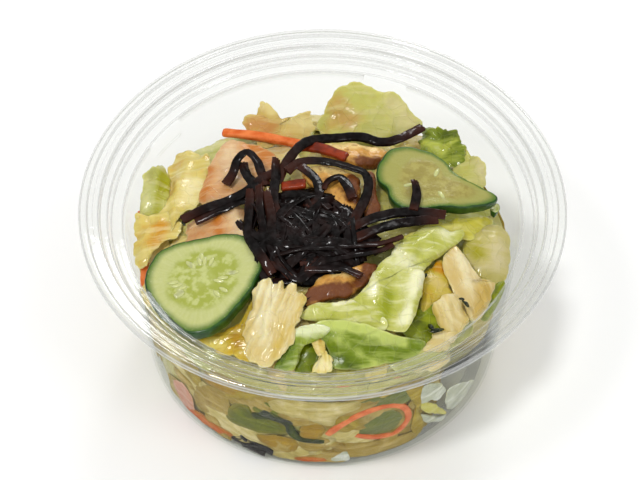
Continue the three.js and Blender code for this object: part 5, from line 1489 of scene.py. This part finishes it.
def seed_tree(material):
    """Geometry nodes that set a flat drop on every point, turned by the point's heading."""
    tree, source = size_tree("cucumber_seeds", SEED_SIZES)
    ball = add(tree, "GeometryNodeMeshUVSphere", 16, 10, 0.5)
    size = add(tree, "ShaderNodeCombineXYZ", source["Length"], source["Width"], source["Thickness"])
    drop = add(tree, "GeometryNodeTransform", ball, Scale=size)
    heading = add(tree, "GeometryNodeInputNamedAttribute", "heading", data_type="FLOAT_VECTOR")
    spread = add(tree, "GeometryNodeInstanceOnPoints", source["Geometry"], Instance=drop,
                 Rotation=heading)
    end_tree(tree, spread, material)
    return tree


def build_seeds(name, points, spokes, node, each):
    """Seeds in three lobes round the middle of a slice, pointing away from it."""
    rings = 1 + (len(points) // 2) // spokes
    rho = rings_of(rings)
    places, headings = [], []
    rng = np.random.default_rng(4)
    for lobe in range(SEED_LOBES):
        for _ in range(each):
            ring = int(np.argmin(np.abs(rho - rng.uniform(*SEED_BAND))))
            spoke = int(spokes * (lobe / SEED_LOBES + 0.05 + rng.uniform(-0.1, 0.1))) % spokes
            index = 1 + ring * spokes + spoke
            place = points[index]
            outward = place - points[index - spokes]
            aside = points[1 + ring * spokes + (spoke + 1) % spokes] - place
            out = Vector(outward).normalized()
            up = Vector(np.cross(outward, aside)).normalized()
            turn = Matrix((out, up.cross(out), up)).transposed().to_euler()
            places.append(place)
            headings.append(tuple(turn))
    source = new_piece(name + "_points", places, [])
    mark = source.data.attributes.new("heading", "FLOAT_VECTOR", "POINT")
    mark.data.foreach_set("vector", np.array(headings, dtype=np.float32).ravel())
    piece = evaluate(source, seed_tree(topping_finish("cucumber_seed")), name, {})
    place_piece(piece, None, "cucumber", node)


def build_cucumber():
    peel = topping_finish("cucumber_peel")
    spokes, rings = FINENESS["slice"]
    for name, shape in {**SLICES, "cucumber_end": CUCUMBER_END}.items():
        points, faces, uv, marks = sheet_mesh({**SLICE_PIECE, **shape}, spokes, rings)
        piece = new_piece(name + "_slice", keep_in_cup(points), faces, uv, marks)
        piece.data.materials.append(topping_finish(shape.get("finish", "cucumber_flesh")))
        piece.data.materials.append(peel)
        for polygon in piece.data.polygons:
            edge = min(marks["rim"][i] for i in polygon.vertices)
            polygon.material_index = int(edge > PEEL_STARTS)
        place_piece(piece, None, "cucumber", name)
        if name in SLICES:
            build_seeds(name + "_seeds", points, spokes, name, shape["seeds"])
    build_wall_strip("cucumber_wall", cabbage_finish("wall_peel"), "cucumber")


# ---- fried tofu ----
def build_tofu():
    for name, shape in TOFU_PIECES.items():
        build_sheets(name + "_piece", [sheet_mesh({**TOFU_PIECE, **shape}, *FINENESS["tofu"])],
                     topping_finish("fried_tofu_skin"), "fried_tofu", name)


# ---- seaweed ----
def kelp_top(rho):
    """Height of the mass at a share of the way to its edge."""
    return KELP_MASS["floor"] + KELP_MASS["height"] * (1 - 0.62 * rho**2.4)


def kelp_loops(count):
    """Strands that cross the mass in all directions, by the golden angle."""
    routes = []
    for i in range(count):
        turn = math.radians(GOLDEN_ANGLE * i)
        away = KELP_SPREAD * math.sqrt((i + 0.5) / count)
        heading = turn + math.pi / 2 + 1.1 * math.sin(3 * i)
        reach = KELP_LOOP["half"] + KELP_LOOP["half_varies"] * math.sin(5 * i)
        bow = KELP_LOOP["bow"] * math.sin(2.3 * i) - KELP_LOOP["bow_in"] * away
        route = []
        for t in np.linspace(-1, 1, 6):
            x = away * math.cos(turn) + reach * t * math.cos(heading)
            y = away * math.sin(turn) + reach * t * math.sin(heading)
            x -= bow * (1 - t * t) * math.sin(heading)
            y += bow * (1 - t * t) * math.cos(heading)
            rho = min(math.hypot(x, y) / KELP_MASS["radius"][0], 1)
            z = (kelp_top(rho) + KELP_LOOP["rise"] * (1 - t * t) + KELP_LOOP["layer"] * (i % 4)
                 - KELP_LOOP["sink"])
            route.append((KELP_MASS["at"][0] + x, KELP_MASS["at"][1] + y, z))
        routes.append(route)
    return routes


def strand_tree(material):
    """Geometry nodes that turn each strand's curve into a flat, ridged, crumpled strip."""
    tree, source = size_tree("seaweed_strands", STRAND_SIZES)
    evened = add(tree, "GeometryNodeResampleCurve", source["Geometry"], Length=source["Spacing"],
                 mode="LENGTH")
    factor = add(tree, "GeometryNodeSplineParameter", out="Factor")
    off = add(tree, "ShaderNodeMath", factor, 0.5, operation="SUBTRACT")
    ends = add(tree, "ShaderNodeMath", off, operation="ABSOLUTE")
    brown = add(tree, "ShaderNodeMapRange", ends, 0.2, 0.55, 0.0, source["Brown"], **SMOOTH)
    marked = add(tree, "GeometryNodeStoreNamedAttribute", evened, Name="brown", Value=brown,
                 data_type="FLOAT", domain="POINT")
    ring = add(tree, "GeometryNodeCurvePrimitiveCircle", STRAND_SECTION["points"], Radius=0.5)
    flat = add(tree, "ShaderNodeCombineXYZ", source["Width"], source["Thickness"], 1.0)
    section = add(tree, "GeometryNodeTransform", ring, Scale=flat)
    place = add(tree, "GeometryNodeInputPosition")
    across = add(tree, "ShaderNodeMath", add(tree, "ShaderNodeSeparateXYZ", place, out="X"),
                 source["Width"], operation="DIVIDE")
    turn = weighted(tree, 0.0, (across, STRAND_SECTION["ridges"]))
    wave = add(tree, "ShaderNodeMath", turn, operation="SINE")
    bumps = add(tree, "ShaderNodeCombineXYZ", Y=weighted(tree, 0.0, (wave, source["Ridge"])))
    ridged = add(tree, "GeometryNodeSetPosition", section, Offset=bumps)
    swept = add(tree, "GeometryNodeCurveToMesh", marked, ridged, Fill_Caps=True)
    rough = add(tree, "ShaderNodeTexNoise", place, W=source["Seed"], Detail=2.0,
                Scale=STRAND_SECTION["crumples"], out="Color", noise_dimensions="4D")
    centred = add(tree, "ShaderNodeVectorMath", rough, (0.5, 0.5, 0.5), operation="SUBTRACT")
    scaled = add(tree, "ShaderNodeVectorMath", centred, source["Crumple"], operation="SCALE")
    end_tree(tree, add(tree, "GeometryNodeSetPosition", swept, Offset=scaled), material)
    return tree


def build_strands(tree, name, routes, node, tilt=0.0, **sizes):
    """Makes the strips of all routes as one plain mesh."""
    curve = bpy.data.curves.new(name + "_routes", "CURVE")
    curve.dimensions = "3D"
    curve.twist_mode = "Z_UP"
    for i, (wide, route) in enumerate(routes):
        line = smooth_line(route, STRAND_STEPS)
        line[:, 2] = np.minimum(line[:, 2], KELP_CEILING)
        spline = curve.splines.new("POLY")
        spline.points.add(len(line) - 1)
        for k, point in enumerate(line):
            share = k / (len(line) - 1)
            spline.points[k].co = (*(point * MM), 1)
            spline.points[k].tilt = (tilt + 0.35 * math.sin(2.1 * i)
                                     + 0.45 * math.sin(3 * share + i))
            taper = min(1.0, 0.5 + 5 * min(share, 1 - share))
            swell = 1 + 0.12 * math.sin(7 * share + 2 * i)
            spline.points[k].radius = wide * MM / sizes["Width"] * swell * taper
    piece = evaluate(new_object(name + "_routes", curve), tree, name, sizes)
    place_piece(piece, None, "kelp", node)


def kelp_mass():
    """The dark inside of the tangle."""
    at, radius = KELP_MASS["at"], KELP_MASS["radius"]
    inside, below, rough = 0.96, 1.2, 0.6

    def foot(rho, angle):
        return (at[0] + radius[0] * inside * rho * np.cos(angle),
                at[1] + radius[1] * inside * rho * np.sin(angle))

    def upper(rho, angle):
        x, y = foot(rho, angle)
        return np.stack([x, y, kelp_top(rho) - below + rough * crumple(x * 2, y * 2, 9)], axis=-1)

    def lower(rho, angle):
        x, y = foot(rho, angle)
        return np.stack([x, y, KELP_MASS["floor"] + 0 * x], axis=-1)

    return mound_mesh(upper, lower, *FINENESS["kelp"])


def build_kelp():
    toppings = bpy.context.scene.topping_settings
    material = topping_finish("simmered_seaweed")
    tree = strand_tree(material)
    width = toppings.strand_width / MM
    sizes = {"Width": toppings.strand_width, "Thickness": KELP_THICK["top"] * MM}
    build_strands(tree, "kelp_long_strands", KELP_ROUTES, "kelp", **sizes, Brown=1, Seed=3)
    loops = [(0.55 * width + 0.25 * (i % 4), route)
             for i, route in enumerate(kelp_loops(toppings.strands))]
    build_strands(tree, "kelp_tangle", loops, "kelp", **sizes, Brown=0.2, Seed=8)
    place_piece(new_piece("kelp_mass", *kelp_mass()), material, "kelp", "kelp")
    wall = [(wide, [wall_point(azimuth, z, 1.1 + 0.4 * abs(math.sin(7 * z)))
                    for azimuth, z in route]) for wide, route in KELP_WALL_ROUTES]
    sizes["Thickness"] = KELP_THICK["wall"] * MM
    build_strands(tree, "kelp_wall_strands", wall, "kelp_wall", math.pi / 2, **sizes, Brown=0.1,
                  Seed=5)


# ---- stage ----
def build_stage():
    bpy.context.scene.view_settings.view_transform = "Standard"
    mesh = bpy.data.meshes.new("floor")
    corners = [(x * FLOOR_REACH, y * FLOOR_REACH, 0) for x, y in ((-1, -1), (1, -1), (1, 1), (-1, 1))]
    mesh.from_pydata(corners, [], [(0, 1, 2, 3)])
    mesh.materials.append(finish("pale_sweep", pale_sweep))
    floor = new_object("floor", mesh)
    build_camera()
    build_lamps()
    build_world()


def build_camera():
    rise, down = math.radians(CAMERA["elevation"]), math.radians(CAMERA["look_down"])
    data = bpy.data.cameras.new("camera")
    data.lens = CAMERA["lens"]
    data.sensor_width = SENSOR_WIDTH
    data.clip_start, data.clip_end = CLIP
    camera = new_object("camera", data)
    camera.location = (CAMERA["shift"], -CAMERA["distance"] * math.cos(rise),
                       CUP_HEIGHT * MM + CAMERA["distance"] * math.sin(rise))
    camera.rotation_euler = (math.pi / 2 - down, 0, 0)
    bpy.context.scene.camera = camera


def build_lamps():
    for name, lamp in LAMPS.items():
        data = bpy.data.lights.new(name, "AREA")
        data.shape = "DISK"
        data.size = lamp["size"]
        data.energy = lamp["watts"]
        light = new_object(name, data)
        light.location = lamp["at"]
        aim = Vector(LAMP_TARGET) - light.location
        light.rotation_euler = aim.to_track_quat("-Z", "Y").to_euler()


def build_world():
    """A pale studio with a darker band low down, which draws the edges of the clear cup."""
    world = bpy.data.worlds.new("studio")
    world.use_nodes = True
    tree = world.node_tree
    tree.nodes.clear()
    up = add(tree, "ShaderNodeTexCoord", out="Generated")
    height = add(tree, "ShaderNodeSeparateXYZ", up, out="Z")
    colour = tint_where(tree, WORLD["low"], WORLD["high"], height, WORLD["from"], WORLD["to"])
    light = add(tree, "ShaderNodeBackground", colour, WORLD["strength"])
    add(tree, "ShaderNodeOutputWorld", light)
    bpy.context.scene.world = world


# ---- operators ----
class CupOperator(bpy.types.Operator):
    """Build the clear cup"""

    bl_idname = "pickle.cup"
    bl_label = "Cup"

    def execute(self, context):
        build_cup()
        return {"FINISHED"}


class CabbageOperator(bpy.types.Operator):
    """Build the heap of cabbage leaves and stems"""

    bl_idname = "pickle.cabbage"
    bl_label = "Cabbage"

    def execute(self, context):
        build_cabbage()
        return {"FINISHED"}


class CucumberOperator(bpy.types.Operator):
    """Build the cucumber slices"""

    bl_idname = "pickle.cucumber"
    bl_label = "Cucumber"

    def execute(self, context):
        build_cucumber()
        return {"FINISHED"}


class CarrotOperator(bpy.types.Operator):
    """Build the carrot strips"""

    bl_idname = "pickle.carrot"
    bl_label = "Carrot"

    def execute(self, context):
        build_carrots()
        return {"FINISHED"}


class TofuOperator(bpy.types.Operator):
    """Build the pieces of fried tofu"""

    bl_idname = "pickle.tofu"
    bl_label = "Fried tofu"

    def execute(self, context):
        build_tofu()
        return {"FINISHED"}


class KelpOperator(bpy.types.Operator):
    """Build the tangle of seaweed strips"""

    bl_idname = "pickle.kelp"
    bl_label = "Seaweed"

    def execute(self, context):
        build_kelp()
        return {"FINISHED"}


class StageOperator(bpy.types.Operator):
    """Build the floor, the lights and the camera"""

    bl_idname = "pickle.stage"
    bl_label = "Stage"

    def execute(self, context):
        build_stage()
        return {"FINISHED"}


OPERATORS = (CupOperator, CabbageOperator, CucumberOperator, CarrotOperator, TofuOperator,
             KelpOperator, StageOperator)


class PicklePanel(bpy.types.Panel):
    """Lists the builders and their settings"""

    bl_idname = "VIEW3D_PT_pickle"
    bl_label = "Pickled cabbage"
    bl_space_type = "VIEW_3D"
    bl_region_type = "UI"
    bl_category = "Pickled cabbage"

    def draw(self, context):
        for group in ("cup_settings", "cabbage_settings", "topping_settings"):
            settings = getattr(context.scene, group)
            box = self.layout.box()
            for name in settings.__annotations__:
                box.prop(settings, name)
        for operator in OPERATORS:
            self.layout.operator(operator.bl_idname)


CLASSES = (CupSettings, CabbageSettings, ToppingSettings, *OPERATORS, PicklePanel)


def register():
    for cls in CLASSES:
        bpy.utils.register_class(cls)
    bpy.types.Scene.cup_settings = PointerProperty(type=CupSettings)
    bpy.types.Scene.cabbage_settings = PointerProperty(type=CabbageSettings)
    bpy.types.Scene.topping_settings = PointerProperty(type=ToppingSettings)


def unregister():
    del bpy.types.Scene.topping_settings
    del bpy.types.Scene.cabbage_settings
    del bpy.types.Scene.cup_settings
    for cls in reversed(CLASSES):
        bpy.utils.unregister_class(cls)


def main():
    register()
    bpy.ops.pickle.cup()
    bpy.ops.pickle.cabbage()
    bpy.ops.pickle.cucumber()
    bpy.ops.pickle.carrot()
    bpy.ops.pickle.tofu()
    bpy.ops.pickle.kelp()
    bpy.ops.pickle.stage()


if __name__ == "__main__":
    main()
